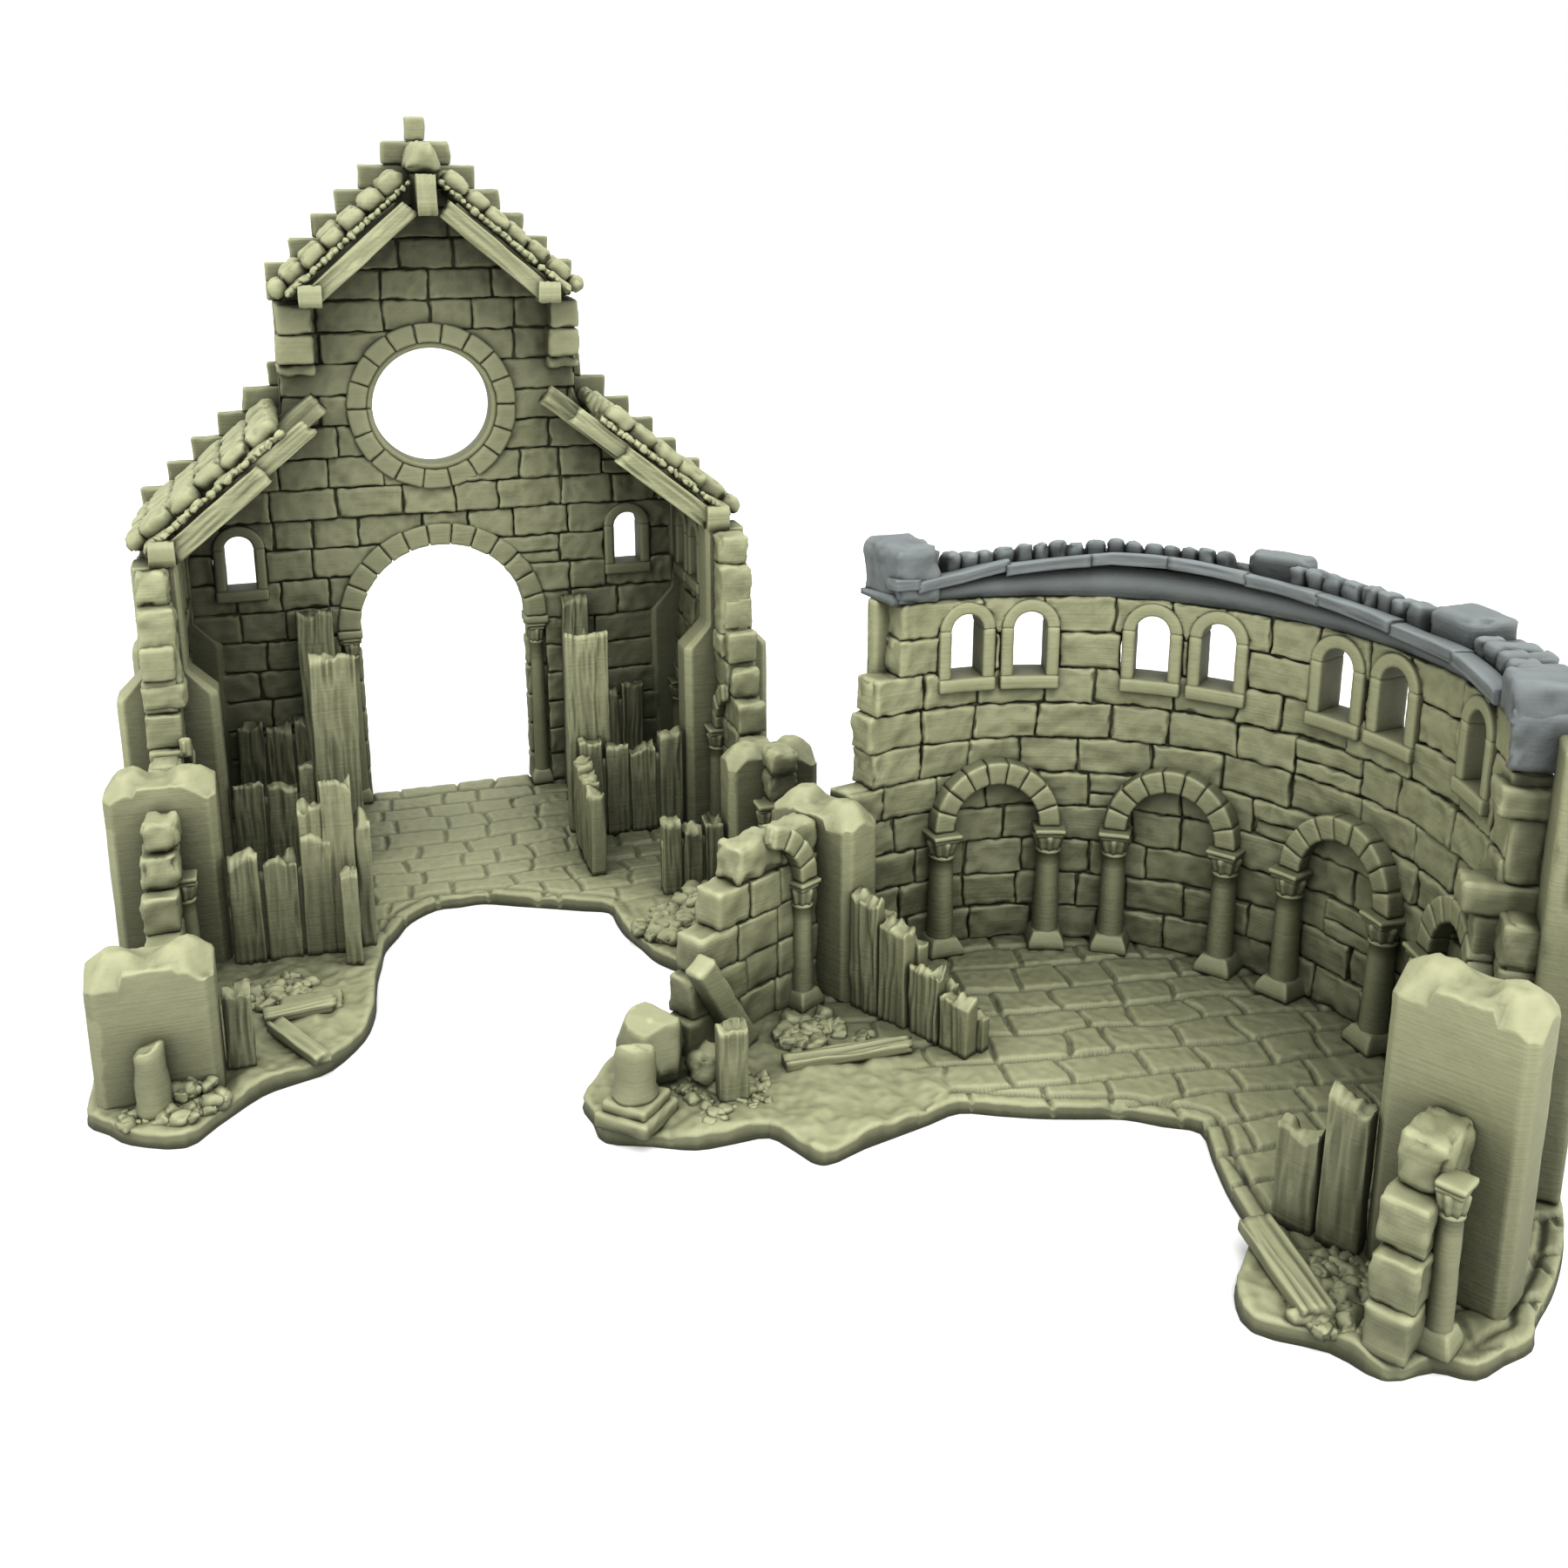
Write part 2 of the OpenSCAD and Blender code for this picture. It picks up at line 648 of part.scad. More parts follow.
gable_rafters(1);  // gable_rafters_right
gable_tiles(-1);  // gable_tiles_left
gable_tiles(1);  // gable_tiles_right
apse_base();
apse_wall();
apse_niches();
apse_buttresses();
apse_pier_left();
apse_pier_right();
apse_fragment_left();
apse_fragment_right();
apse_screen_left();
apse_screen_right();
apse_stump();
apse_rubble();
roof_ring();
roof_tiles();
roof_planks();
roof_blocks();
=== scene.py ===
"""Looks of the miniature church ruin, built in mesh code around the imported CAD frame.

Lengths are in millimetres until a piece is finished, and Z is up. A wall is drawn unrolled, as
(along the wall, into the wall from its inner face, up), and a map function bends it into place.
"""

import json
import math
from itertools import pairwise

import bpy
import numpy as np
from mathutils import Matrix, Vector


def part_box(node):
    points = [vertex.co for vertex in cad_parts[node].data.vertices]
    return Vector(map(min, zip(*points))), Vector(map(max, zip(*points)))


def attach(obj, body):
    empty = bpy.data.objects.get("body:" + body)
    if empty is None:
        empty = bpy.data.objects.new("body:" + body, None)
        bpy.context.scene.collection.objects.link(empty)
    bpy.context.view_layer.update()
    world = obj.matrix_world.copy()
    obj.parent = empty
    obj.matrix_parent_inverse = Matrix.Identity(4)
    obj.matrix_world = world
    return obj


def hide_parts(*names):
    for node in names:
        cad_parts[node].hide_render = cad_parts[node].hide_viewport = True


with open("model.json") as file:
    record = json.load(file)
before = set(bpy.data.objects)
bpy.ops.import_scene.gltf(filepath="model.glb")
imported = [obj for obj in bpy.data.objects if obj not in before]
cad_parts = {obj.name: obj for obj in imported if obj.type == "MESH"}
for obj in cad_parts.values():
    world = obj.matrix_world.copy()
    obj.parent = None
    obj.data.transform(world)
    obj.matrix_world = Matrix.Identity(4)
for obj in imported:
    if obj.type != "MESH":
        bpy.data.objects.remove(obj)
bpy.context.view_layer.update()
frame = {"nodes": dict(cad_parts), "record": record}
MM = 0.001
rng = np.random.default_rng(11)


def span(node):
    """Lowest and highest corner of a CAD node, in millimetres."""
    low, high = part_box(node)
    return np.array(low) / MM, np.array(high) / MM


# Driving sizes: read from the frame where it holds them, or chosen
FLOOR = span("nave_base")[1][2]
SEAM = span("front_wall")[1][2]
COURSE = (SEAM - FLOOR) / 10
GABLE = span("gable_wall")[0][2]
WALL = span("front_wall")[1][1]
AISLE = -span("wall_left_1")[1][0]
PIER_OUT = span("pier_right_1")[1][0]
PIER_IN = span("pier_right_1")[0][0]
PIER_DEPTH = span("pier_right_2")[1][1] - span("pier_right_2")[0][1]
BAY = span("pier_right_1")[0][1] - span("pier_right_2")[0][1]
PIER_1 = span("pier_right_1")[0][1]
ARCH = 4.4
PORTAL = span("portal_arch")[1][0] - ARCH
SPRING = span("portal_arch")[0][2]
ROSE_OUT = span("rose_ring")[1][0]
ROSE_Z = (span("rose_ring")[1][2] + span("rose_ring")[0][2]) / 2
LEAF = span("upper_wall")[0][1]
PARAPET = 2.9
APSE = np.array([73.5, -149.0])
APSE_TURN = math.radians(29)
APSE_R = 52.0
SILL, HEAD = FLOOR + 48.5, FLOOR + 56.7
WINDOW_IN, WINDOW_OUT = 2.8, 4.95
FRAME_PROUD = -0.8
FACADE_WINDOWS = (-39.3, 39.3)
NICHE_IN, NICHE_OUT, NICHE_SPRING = 7.9, 11.7, FLOOR + 22
CHAMFER, CHAMFER_Z = 4.7, FLOOR + 37.6
SIDES = ((-1, "left"), (1, "right"))


def xyz(x, y, z):
    return np.stack([x, y, z], 1)


# ---- noise and shells


def lattice(i, j, k, seed):
    """A fixed random value between -1 and 1 for each corner of a grid."""
    h = (i * 374761393 + j * 668265263 + k * 1442695041 + seed * 144665) & 0x7FFFFFFF
    h = ((h ^ (h >> 13)) * 1274126177) & 0x7FFFFFFF
    return ((h ^ (h >> 16)) & 0xFFFF) / 32767.5 - 1.0


def noise(points, scale, seed=0):
    """Smooth value noise between -1 and 1; scale is a length or one length per axis."""
    q = points / np.asarray(scale, float)
    cell = np.floor(q).astype(np.int64)
    f = q - cell
    f = f * f * (3 - 2 * f)
    total = 0
    for dx in (0, 1):
        for dy in (0, 1):
            for dz in (0, 1):
                weight = ((f[:, 0] if dx else 1 - f[:, 0]) * (f[:, 1] if dy else 1 - f[:, 1])
                          * (f[:, 2] if dz else 1 - f[:, 2]))
                total = total + weight * lattice(cell[:, 0] + dx, cell[:, 1] + dy,
                                                 cell[:, 2] + dz, seed)
    return total


SHELLS = {}


def shell(n):
    """Welded surface of a subdivided box with n cells per axis: points in 0 to 1, and quads."""
    n = tuple(int(v) for v in n)
    if n not in SHELLS:
        i, j, k = np.indices([v + 1 for v in n])
        rim = (i == 0) | (i == n[0]) | (j == 0) | (j == n[1]) | (k == 0) | (k == n[2])
        ids = -np.ones(rim.shape, int)
        ids[rim] = np.arange(rim.sum())
        points = np.stack([i[rim] / n[0], j[rim] / n[1], k[rim] / n[2]], 1)
        faces = []
        for sheet, flip in ((ids[0], 1), (ids[-1], 0), (ids[:, 0], 0), (ids[:, -1], 1),
                            (ids[:, :, 0], 1), (ids[:, :, -1], 0)):
            quads = np.stack([sheet[:-1, :-1], sheet[1:, :-1], sheet[1:, 1:], sheet[:-1, 1:]],
                             -1).reshape(-1, 4)
            faces.append(quads[:, ::-1] if flip else quads)
        SHELLS[n] = points, np.concatenate(faces)
    return SHELLS[n]


def block(low, high, cell=0.75, soft=0.5, rough=0.16, grain=2.4, chips=0.25, seed=None):
    """A hewn block: rounded edges, an uneven surface and small chips along its edges."""
    low, high = np.asarray(low, float), np.asarray(high, float)
    size = high - low
    unit, faces = shell(np.maximum(1, np.ceil(size / cell)))
    unit = 0.55 * unit + 0.45 * (0.5 - 0.5 * np.cos(np.pi * unit))
    points = low + size * unit
    soft = min(soft, 0.48 * size.min())
    core = np.clip(points, low + soft, high - soft)
    out = points - core
    normal = out / np.maximum(np.linalg.norm(out, axis=1), 1e-9)[:, None]
    seed = int(rng.integers(1 << 20)) if seed is None else seed
    shift = points + seed % 977
    lift = rough * (noise(shift, grain, seed) + 0.6 - 1.4 * np.abs(noise(shift, grain / 1.3, seed + 1))
                    + 0.45 * noise(shift, grain / 4, seed + 3))
    edge = (np.abs(out) > 0.35 * soft).sum(1) >= 2
    lift = lift - chips * edge * np.maximum(0, noise(shift, 1.7, seed + 2) - 0.1) * 2
    return core + normal * (soft + lift)[:, None], faces


def lathe(profile, around=20, rough=0.05, lobes=0, lobe=0.0):
    """A closed turned shape from (radius, height) points, on the Z axis."""
    profile = [(0.0, profile[0][1])] + list(profile) + [(0.0, profile[-1][1])]
    radius, height = np.array(profile, float).T
    turn = np.arange(around) * 2 * np.pi / around
    r = radius[:, None] * (1 + lobe * np.cos(lobes * turn))[None, :]
    points = np.stack([r * np.cos(turn), r * np.sin(turn),
                       np.repeat(height[:, None], around, 1)], -1).reshape(-1, 3)
    seed = int(rng.integers(1 << 20))
    wobble = 1 + rough * noise(points + seed % 977, 2.0, seed) / np.maximum(
        np.linalg.norm(points[:, :2], axis=1), 0.5)
    points[:, :2] *= wobble[:, None]
    ring = np.arange(around)
    rows = []
    for i in range(len(profile) - 1):
        a, b = i * around, (i + 1) * around
        rows.append(np.stack([a + ring, a + (ring + 1) % around, b + (ring + 1) % around, b + ring], 1))
    return points, np.concatenate(rows)


def broken_shaft(profile, around=24, lean=0.5):
    """A turned stub whose top has snapped off at a slant."""
    points, faces = lathe(profile, around, 0.25)
    top = points[:, 2].max()
    near = np.clip((points[:, 2] - top + 3.5) / 3.5, 0, 1)
    points[:, 2] += near * (lean * points[:, 0] - 0.25 * points[:, 1]
                            + 0.7 * noise(points * [1, 1, 0], (1.3, 1.3, 1), int(top * 9)) - 0.6)
    return points, faces


def plank(width, thick, length, broken=1.2, groove=0.4):
    """An upright board: X across, Y through, Z along the grain, with a splintered top."""
    cells = (max(4, round(width / 0.24)), 3, max(6, round(length / 1.0)))
    unit, faces = shell(cells)
    points = (unit - [0.5, 0.5, 0]) * [width, thick, length]
    seed = int(rng.integers(1 << 20))
    shift = points + seed % 977
    bend = shift + np.outer(noise(shift * [0, 0, 1], 5.0, seed + 5), [0.22, 0, 0])
    grain = (0.5 - 1.5 * np.abs(noise(bend, (0.62, 3.0, 9.0), seed))
             + 0.5 * noise(bend, (1.3, 3.0, 14.0), seed + 1))
    side = np.sign(unit[:, 1] - 0.5) * ((unit[:, 1] < 0.01) | (unit[:, 1] > 0.99))
    points[:, 1] += side * groove * grain
    rim = np.sign(unit[:, 0] - 0.5) * ((unit[:, 0] < 0.01) | (unit[:, 0] > 0.99))
    points[:, 0] += rim * 0.12 * noise(shift, (3, 3, 4.0), seed + 2) - rim * 0.12
    points[:, 1] -= side * 0.2 * (np.abs(unit[:, 0] - 0.5) > 0.49)
    across = shift * [1, 1, 0] + seed % 97
    splinter = noise(across, (2.6, 1.4, 1), seed + 3) + 0.45 * noise(across, (0.8, 0.8, 1), seed + 4)
    points[:, 2] += broken * (0.75 * splinter - 0.45) * unit[:, 2] ** 6
    return points, faces


# ---- pieces


PIECES = []


class Piece:
    """Collects shells into one mesh that stands for a CAD node and rides on its body."""

    def __init__(self, name, node, slot="stone_olive"):
        self.name, self.node, self.slot = name, node, slot
        self.points, self.faces, self.count = [], [], 0
        PIECES.append(self)

    def add(self, part, to=None):
        points, faces = part
        if to is not None:
            points = to(points)
        centred = points - points.mean(0)
        a, b, c, d = (centred[faces[:, n]] for n in range(4))
        volume = (np.einsum("ij,ij->i", a, np.cross(b, c))
                  + np.einsum("ij,ij->i", a, np.cross(c, d))).sum()
        self.points.append(points)
        self.faces.append((faces[:, ::-1] if volume < 0 else faces) + self.count)
        self.count += len(points)

    def finish(self):
        points = np.concatenate(self.points) * MM
        points[:, 2] = np.maximum(points[:, 2], 0)
        faces = np.concatenate(self.faces)
        mesh = bpy.data.meshes.new(self.name)
        mesh.vertices.add(len(points))
        mesh.vertices.foreach_set("co", points.ravel())
        mesh.loops.add(faces.size)
        mesh.loops.foreach_set("vertex_index", faces.ravel().astype(np.int32))
        mesh.polygons.add(len(faces))
        mesh.polygons.foreach_set("loop_start", np.arange(0, faces.size, 4, dtype=np.int32))
        mesh.polygons.foreach_set("loop_total", np.full(len(faces), 4, dtype=np.int32))
        mesh.polygons.foreach_set("use_smooth", np.ones(len(faces), dtype=bool))
        mesh.update()
        mesh.validate()
        thing = bpy.data.objects.new(self.name, mesh)
        bpy.context.scene.collection.objects.link(thing)
        mesh.materials.append(MATERIALS[self.slot])
        body = next(b for b, nodes in frame["record"]["behaviour"]["bodies"].items()
                    if self.node in nodes)
        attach(thing, body)
        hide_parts(self.node)


# ---- maps


def side_wall(side):
    """Map of the left (-1) or right (1) side wall of the nave."""
    return lambda p: xyz(side * (AISLE + p[:, 1]), p[:, 0], p[:, 2])


def in_apse(p):
    """Map from the middle of the round wall, with X into the apse, to the frame."""
    c, s = math.cos(APSE_TURN), math.sin(APSE_TURN)
    return xyz(APSE[0] + c * p[:, 0] - s * p[:, 1], APSE[1] + s * p[:, 0] + c * p[:, 1], p[:, 2])


def apse_side(side):
    """Map of the broken wall in front of the apse's left (1) or right (-1) end pier."""
    return lambda p: in_apse(xyz(p[:, 0], side * (AISLE + p[:, 1]), p[:, 2]))


def round_wall(p):
    """Map that bends a straight wall round the apse."""
    turn, radius = p[:, 0] / APSE_R, APSE_R + p[:, 1]
    return in_apse(xyz(radius * np.cos(turn), radius * np.sin(turn), p[:, 2]))


def along(turn):
    """Place along the unrolled round wall, for a turn in degrees."""
    return math.radians(turn) * APSE_R


def placed(at, turn=0.0, tilt=0.0, lean=0.0, then=None):
    """A map that tilts about X, leans about Y, turns about Z and moves to a place."""
    m = (Matrix.Rotation(math.radians(turn), 3, "Z") @ Matrix.Rotation(math.radians(lean), 3, "Y")
         @ Matrix.Rotation(math.radians(tilt), 3, "X"))
    m = np.array(m)

    def to(p):
        q = p @ m.T + np.asarray(at, float)
        return then(q) if then else q
    return to


def mirrored(p):
    """Map of the other side of the nave."""
    return p * [-1, 1, 1]


def polar(cx, cz, then=None):
    """Bends (arc angle in radians, depth, radius) into an arch that starts at the left."""
    def to(p):
        q = xyz(cx - p[:, 2] * np.cos(p[:, 0]), p[:, 1], cz + p[:, 2] * np.sin(p[:, 0]))
        return then(q) if then else q
    return to


# ---- masonry


def core(low, high, cell=2.5, soft=0.05):
    """The plain inside of a wall, behind its joints."""
    return block(low, high, cell=cell, soft=soft, rough=0, chips=0)


def bond(start, end, lengths=(8.0, 14.0)):
    """Joints that divide a course into blocks of uneven length."""
    cuts, at = [start], start + rng.uniform(0.45, 1) * lengths[1]
    while at < end - 0.6 * lengths[0]:
        cuts.append(at)
        at += rng.uniform(*lengths)
    return cuts + [end]


def wavy(points):
    """Bends the joints of a wall a little, without moving its ends."""
    q = points * [1, 0, 1]
    moved = points.copy()
    moved[:, 2] += 0.12 * noise(q, 7.0, 77) + 0.13 * noise(q, 2.2, 78)
    moved[:, 0] += 0.22 * noise(q, 3.0, 79)
    return moved


def masonry(piece, rows, front, back, to=None, lengths=(7.5, 13.5), joint=0.17, rough=0.24,
            cap=None, split=True):
    """Courses of blocks. rows is a list of (low z, high z, [(start, end), ...])."""
    for low, high, runs in rows:
        for start, end in runs:
            if end - start < 0.8:
                continue
            cuts = bond(start, end, lengths)
            for a, b in pairwise(cuts):
                levels = [low, high]
                if split and rng.uniform() < 0.06 and b - a > 6:
                    levels.insert(1, low + (high - low) * rng.uniform(0.35, 0.65))
                for c, d in pairwise(levels):
                    proud = rng.uniform(-0.35, 0.25)
                    points, faces = block((a + joint, front + proud, c + joint),
                                          (b - joint, back - rng.uniform(-0.2, 0.25), d - joint),
                                          cell=0.6, soft=rng.uniform(0.15, 0.32), rough=rough)
                    near = points[:, 1] < (front + back) / 2
                    lean = (rng.uniform(-0.07, 0.07) * (points[:, 0] - (a + b) / 2)
                            + rng.uniform(-0.08, 0.08) * (points[:, 2] - (c + d) / 2))
                    points[:, 1] += near * lean * (rough > 0.1)
                    piece.add(capped((wavy(points), faces), cap), to)
            inside_wall = core((start + 0.3, front + 1.1, low), (end - 0.3, back - 1.1, high))
            piece.add(capped(inside_wall, cap), to)


def capped(part, cap):
    """Keeps a shell inside a boundary."""
    return part if cap is None else (cap(part[0]), part[1])


def rolled(part, radius):
    """Turns lengths along X into arc angles at a radius."""
    return part[0] / [radius, 1, 1], part[1]


def arch(piece, cx, cz, inner, outer, front, back, stones, to=None, sweep=(0, math.pi),
         rough=0.1, gap=0.1):
    """An arch or ring of voussoirs."""
    middle = (inner + outer) / 2
    edges = np.linspace(sweep[0], sweep[1], stones + 1)
    for a, b in pairwise(edges):
        proud = rng.uniform(-0.12, 0.12)
        piece.add(rolled(block((a * middle + gap, front + proud, inner),
                               (b * middle - gap, back, outer + rng.uniform(0, 0.15)),
                               cell=0.7, soft=0.24, rough=rough, chips=0.12), middle),
                  polar(cx, cz, to))
    piece.add(rolled(core((edges[0] * middle, front + 0.7, inner + 0.35),
                          (edges[-1] * middle, back - 0.4, outer - 0.35), 1.2), middle),
              polar(cx, cz, to))


def window_frame(piece, cx, to=None):
    """A smooth frame: two jambs, a round head and a sill."""
    inner, outer, front, back = WINDOW_IN, WINDOW_OUT, FRAME_PROUD, WALL
    middle = (inner + outer) / 2
    for low, high in ((cx - outer, cx - inner), (cx + inner, cx + outer)):
        piece.add(block((low, front, SILL - 0.3), (high, back, HEAD + 0.2), soft=0.35, rough=0.03,
                        chips=0.05), to)
    piece.add(rolled(block((0, front, inner), (math.pi * middle, back, outer), cell=0.6, soft=0.35,
                           rough=0.03, chips=0), middle), polar(cx, HEAD, to))
    piece.add(block((cx - outer - 0.1, front - 0.4, SILL - 2.4), (cx + outer + 0.1, back + 0.2, SILL),
                    soft=0.35, rough=0.04, chips=0.05), to)


def rock(size, flat=0.75):
    """A broken lump."""
    half = np.array([1, rng.uniform(0.7, 1), flat * rng.uniform(0.7, 1)]) * size / 2
    points, faces = block(-half, half, cell=max(0.5, size / 6), soft=0.42 * size * flat,
                          rough=0.13 * size, grain=0.55 * size, chips=0.1 * size)
    turn = np.array(Matrix.Rotation(rng.uniform(0, 6.3), 3, "Z")
                    @ Matrix.Rotation(rng.uniform(-0.6, 0.6), 3, "X"))
    return points @ turn.T, faces


def scatter(piece, cx, cy, rx, ry, count, sizes, z=None, to=None):
    """Rubble over an oval patch, denser in the middle."""
    for _ in range(count):
        turn, r = rng.uniform(0, 2 * np.pi), rng.uniform(0, 1) ** 0.7
        size = rng.uniform(*sizes)
        base = FLOOR if z is None else z
        at = (cx + rx * r * math.cos(turn), cy + ry * r * math.sin(turn), base + 0.18 * size)
        piece.add(rock(size), placed(at, then=to))


def boulder(wide, deep, tall, seed):
    """A boulder with flat broken faces that narrows upwards."""
    points, faces = block((-1, -1, 0), (1, 1, 1), cell=0.09, soft=0.3, rough=0, chips=0)
    local = np.random.default_rng(seed)
    points = (points - [0, 0, 0.45]) * [1, 1, 2]
    reach = np.full(len(points), 9.0)
    length = np.linalg.norm(points, axis=1)
    ray = points / length[:, None]
    for _ in range(15):
        n = local.normal(size=3)
        n /= np.linalg.norm(n)
        facing = ray @ n
        with np.errstate(divide="ignore"):
            cut = np.where(facing > 0.05, local.uniform(0.72, 0.95) / facing, 9)
        reach = np.minimum(reach, cut)
    points = ray * np.minimum(reach, 1.15)[:, None] + [0, 0, 0.9]
    narrow = 1 - 0.3 * np.clip(points[:, 2] / 2, 0, 1)
    points[:, :2] *= narrow[:, None]
    points += 0.04 * noise(points, 0.4, seed)[:, None]
    return points * [wide / 2, deep / 2, tall / 2], faces


# ---- piers


def broken_crown(u, v, seed):
    """Drop of a broken pier's top: two faceted lumps with a valley between them."""
    local = np.random.default_rng(seed)
    lumps = []
    for middle in (0.25, 0.76):
        drop = local.uniform(0, 0.5) + 0 * u
        for turn in np.linspace(0, 2 * np.pi, 7)[:-1] + local.uniform(0, 1):
            steep = local.uniform(0.75, 1.3)
            flat = local.uniform(0.7, 2.0)
            reach = (u - middle) * 17 * math.cos(turn) + (v - 0.55) * 8 * math.sin(turn)
            drop = np.maximum(drop, steep * (reach - flat))
        lumps.append(drop)
    drop = np.minimum(*lumps)
    return np.where(np.abs(u - 0.5) < 0.22, np.minimum(drop, 2.0), np.minimum(drop, 4.5))


def pier(piece, side, y, top, broken=False, to=None):
    """A pier with a wide foot and bevelled corners; a broken one ends in two worn lumps."""
    bevel, x = 1.15, (PIER_IN, PIER_OUT)
    middle, half = (x[0] + x[1]) / 2, (x[1] - x[0]) / 2
    points, faces = block((x[0], y, FLOOR), (x[1], y + PIER_DEPTH, top), cell=0.6, soft=0.25,
                          rough=0.04, grain=5, chips=0.1)
    dx = half - np.abs(points[:, 0] - middle)
    dy = PIER_DEPTH / 2 - np.abs(points[:, 1] - y - PIER_DEPTH / 2)
    inward = np.maximum(0, bevel - dx - dy) / 2
    points[:, 0] -= np.sign(points[:, 0] - middle) * inward
    points[:, 1] -= np.sign(points[:, 1] - y - PIER_DEPTH / 2) * inward
    if not broken:
        narrow = np.clip((points[:, 2] - CHAMFER_Z) / CHAMFER, 0, 1) * CHAMFER
        points[:, 0] = middle + (points[:, 0] - middle) * (half - narrow) / half
    else:
        u, v = (points[:, 0] - x[0]) / (x[1] - x[0]), (points[:, 1] - y) / PIER_DEPTH
        crown = broken_crown(u, v, int(top * 10) + side)
        crown = crown + 0.35 * np.abs(noise(points * [1, 1, 0], (1.6, 1.6, 1), 5))
        near = np.clip((points[:, 2] - top + 9) / 9, 0, 1)
        points[:, 2] -= crown * near
    if side < 0:
        points = points * [-1, 1, 1]
    piece.add((points, faces), to)


def half_column(piece, x, t, top, to=None, r=2.3):
    """A tapered shaft on a flared foot, with a leafy capital under a moulded slab."""
    base, cap = FLOOR, 4.2
    height = top - base
    shaft = [(r * 1.06, 1.5)]
    shaft += [(r * (1.04 - 0.16 * i / 7), z)
              for i, z in enumerate(np.linspace(2.6, height - cap - 0.5, 8))]
    shaft += [(r * 1.0, height - cap - 0.3), (r * 1.0, height - cap), (r * 0.85, height - cap + 0.2)]
    piece.add(lathe(shaft, 24, 0.05), placed((x, t, base), then=to))
    bell = [(r * 0.85, height - cap), (r * 0.92, height - cap + 0.8), (r * 1.04, height - 2.4),
            (r * 1.12, height - 1.5), (r * 1.0, height - 1.3)]
    piece.add(lathe(bell, 32, 0.15, 8, 0.13), placed((x, t, base), then=to))
    for low, high, wide in ((1.5, 0.8, 1.08), (0.8, 0, 1.24)):
        piece.add(block((x - r * wide, t - r * wide, top - low), (x + r * wide, t + r, top - high),
                        soft=0.2, rough=0.05, chips=0.1, cell=0.5), to)
    points, faces = block((x - r * 1.5, t - r * 1.5, base), (x + r * 1.5, t + r * 1.2, base + 3),
                          soft=0.25, rough=0.05, chips=0.1)
    taper = 1 - 0.3 * np.clip((points[:, 2] - base - 1.2) / 1.8, 0, 1)
    points[:, :2] = [x, t] + (points[:, :2] - [x, t]) * taper[:, None]
    piece.add((points, faces), to)


# ---- floors


def smooth_outline(corners):
    """Closed Catmull-Rom curve through the corners, with long edges divided first."""
    corners = np.array(corners, float)
    p = []
    for a, b in zip(corners, np.roll(corners, -1, 0)):
        parts = max(1, round(np.linalg.norm(b - a) / 6))
        p += [a + (b - a) * i / parts for i in range(parts)]
    a, b, c, d = (np.roll(p, shift, 0) for shift in (1, 0, -1, -2))
    curve = [0.5 * (2 * b + (c - a) * t + (2 * a - 5 * b + 4 * c - d) * t * t
                    + (3 * b - 3 * c + d - a) * t ** 3) for t in (0, 1 / 3, 2 / 3)]
    return np.stack(curve, 1).reshape(-1, 2)


def inside(points, outline):
    """Whether each point is inside a closed outline."""
    result = np.zeros(len(points), bool)
    x, y = points[:, 0], points[:, 1]
    for (ax, ay), (bx, by) in zip(outline, np.roll(outline, -1, 0)):
        cross = (ay > y) != (by > y)
        with np.errstate(divide="ignore", invalid="ignore"):
            at = ax + (y - ay) * (bx - ax) / (by - ay)
        result ^= cross & (x < at)
    return result


def nearest(points, outline):
    """Nearest place on the outline to each point, and the distance to it."""
    best, where = np.full(len(points), 1e9), np.zeros((len(points), 2))
    for a, b in zip(outline, np.roll(outline, -1, 0)):
        ab = b - a
        t = np.clip(((points - a) @ ab) / max(ab @ ab, 1e-9), 0, 1)
        q = a + t[:, None] * ab
        d = np.linalg.norm(points - q, axis=1)
        closer = d < best
        best[closer], where[closer] = d[closer], q[closer]
    return where, best


def flagstones(x, y, row_h, lengths, seed):
    """Height of irregular flagstones at each point: grooves between stones of uneven level."""
    bend = 1.3 * noise(np.stack([x, y, 0 * x], 1), 10.0, seed)
    y = y + bend
    row = np.floor(y / row_h).astype(int)
    low = y - row * row_h
    gap = np.minimum(low, row_h - low)
    level = np.zeros(len(x))
    for r in np.unique(row):
        pick = row == r
        local = np.random.default_rng(abs(int(r)) * 7 + seed)
        cuts = np.cumsum(local.uniform(*lengths, 60)) - 200 + local.uniform(0, 8)
        px = x[pick] + 0.9 * noise(np.stack([x[pick], y[pick], 0 * x[pick]], 1), 4.5, seed + 1)
        i = np.clip(np.searchsorted(cuts, px), 1, len(cuts) - 1)
        edge = np.minimum(px - cuts[i - 1], cuts[i] - px)
        gap[pick] = np.minimum(gap[pick], edge)
        level[pick] = local.uniform(-0.22, 0.2, 61)[i]
    p = np.stack([x, y, 0 * x], 1)
    wear_and_painted_shade = 0.16 * (0.5 - np.abs(noise(p, 2.4, seed + 2))) + 0.08 * noise(p, 1.0, seed + 3)
    return level + wear_and_painted_shade - 0.75 * np.exp(-(np.maximum(gap, 0) / 0.36) ** 2)


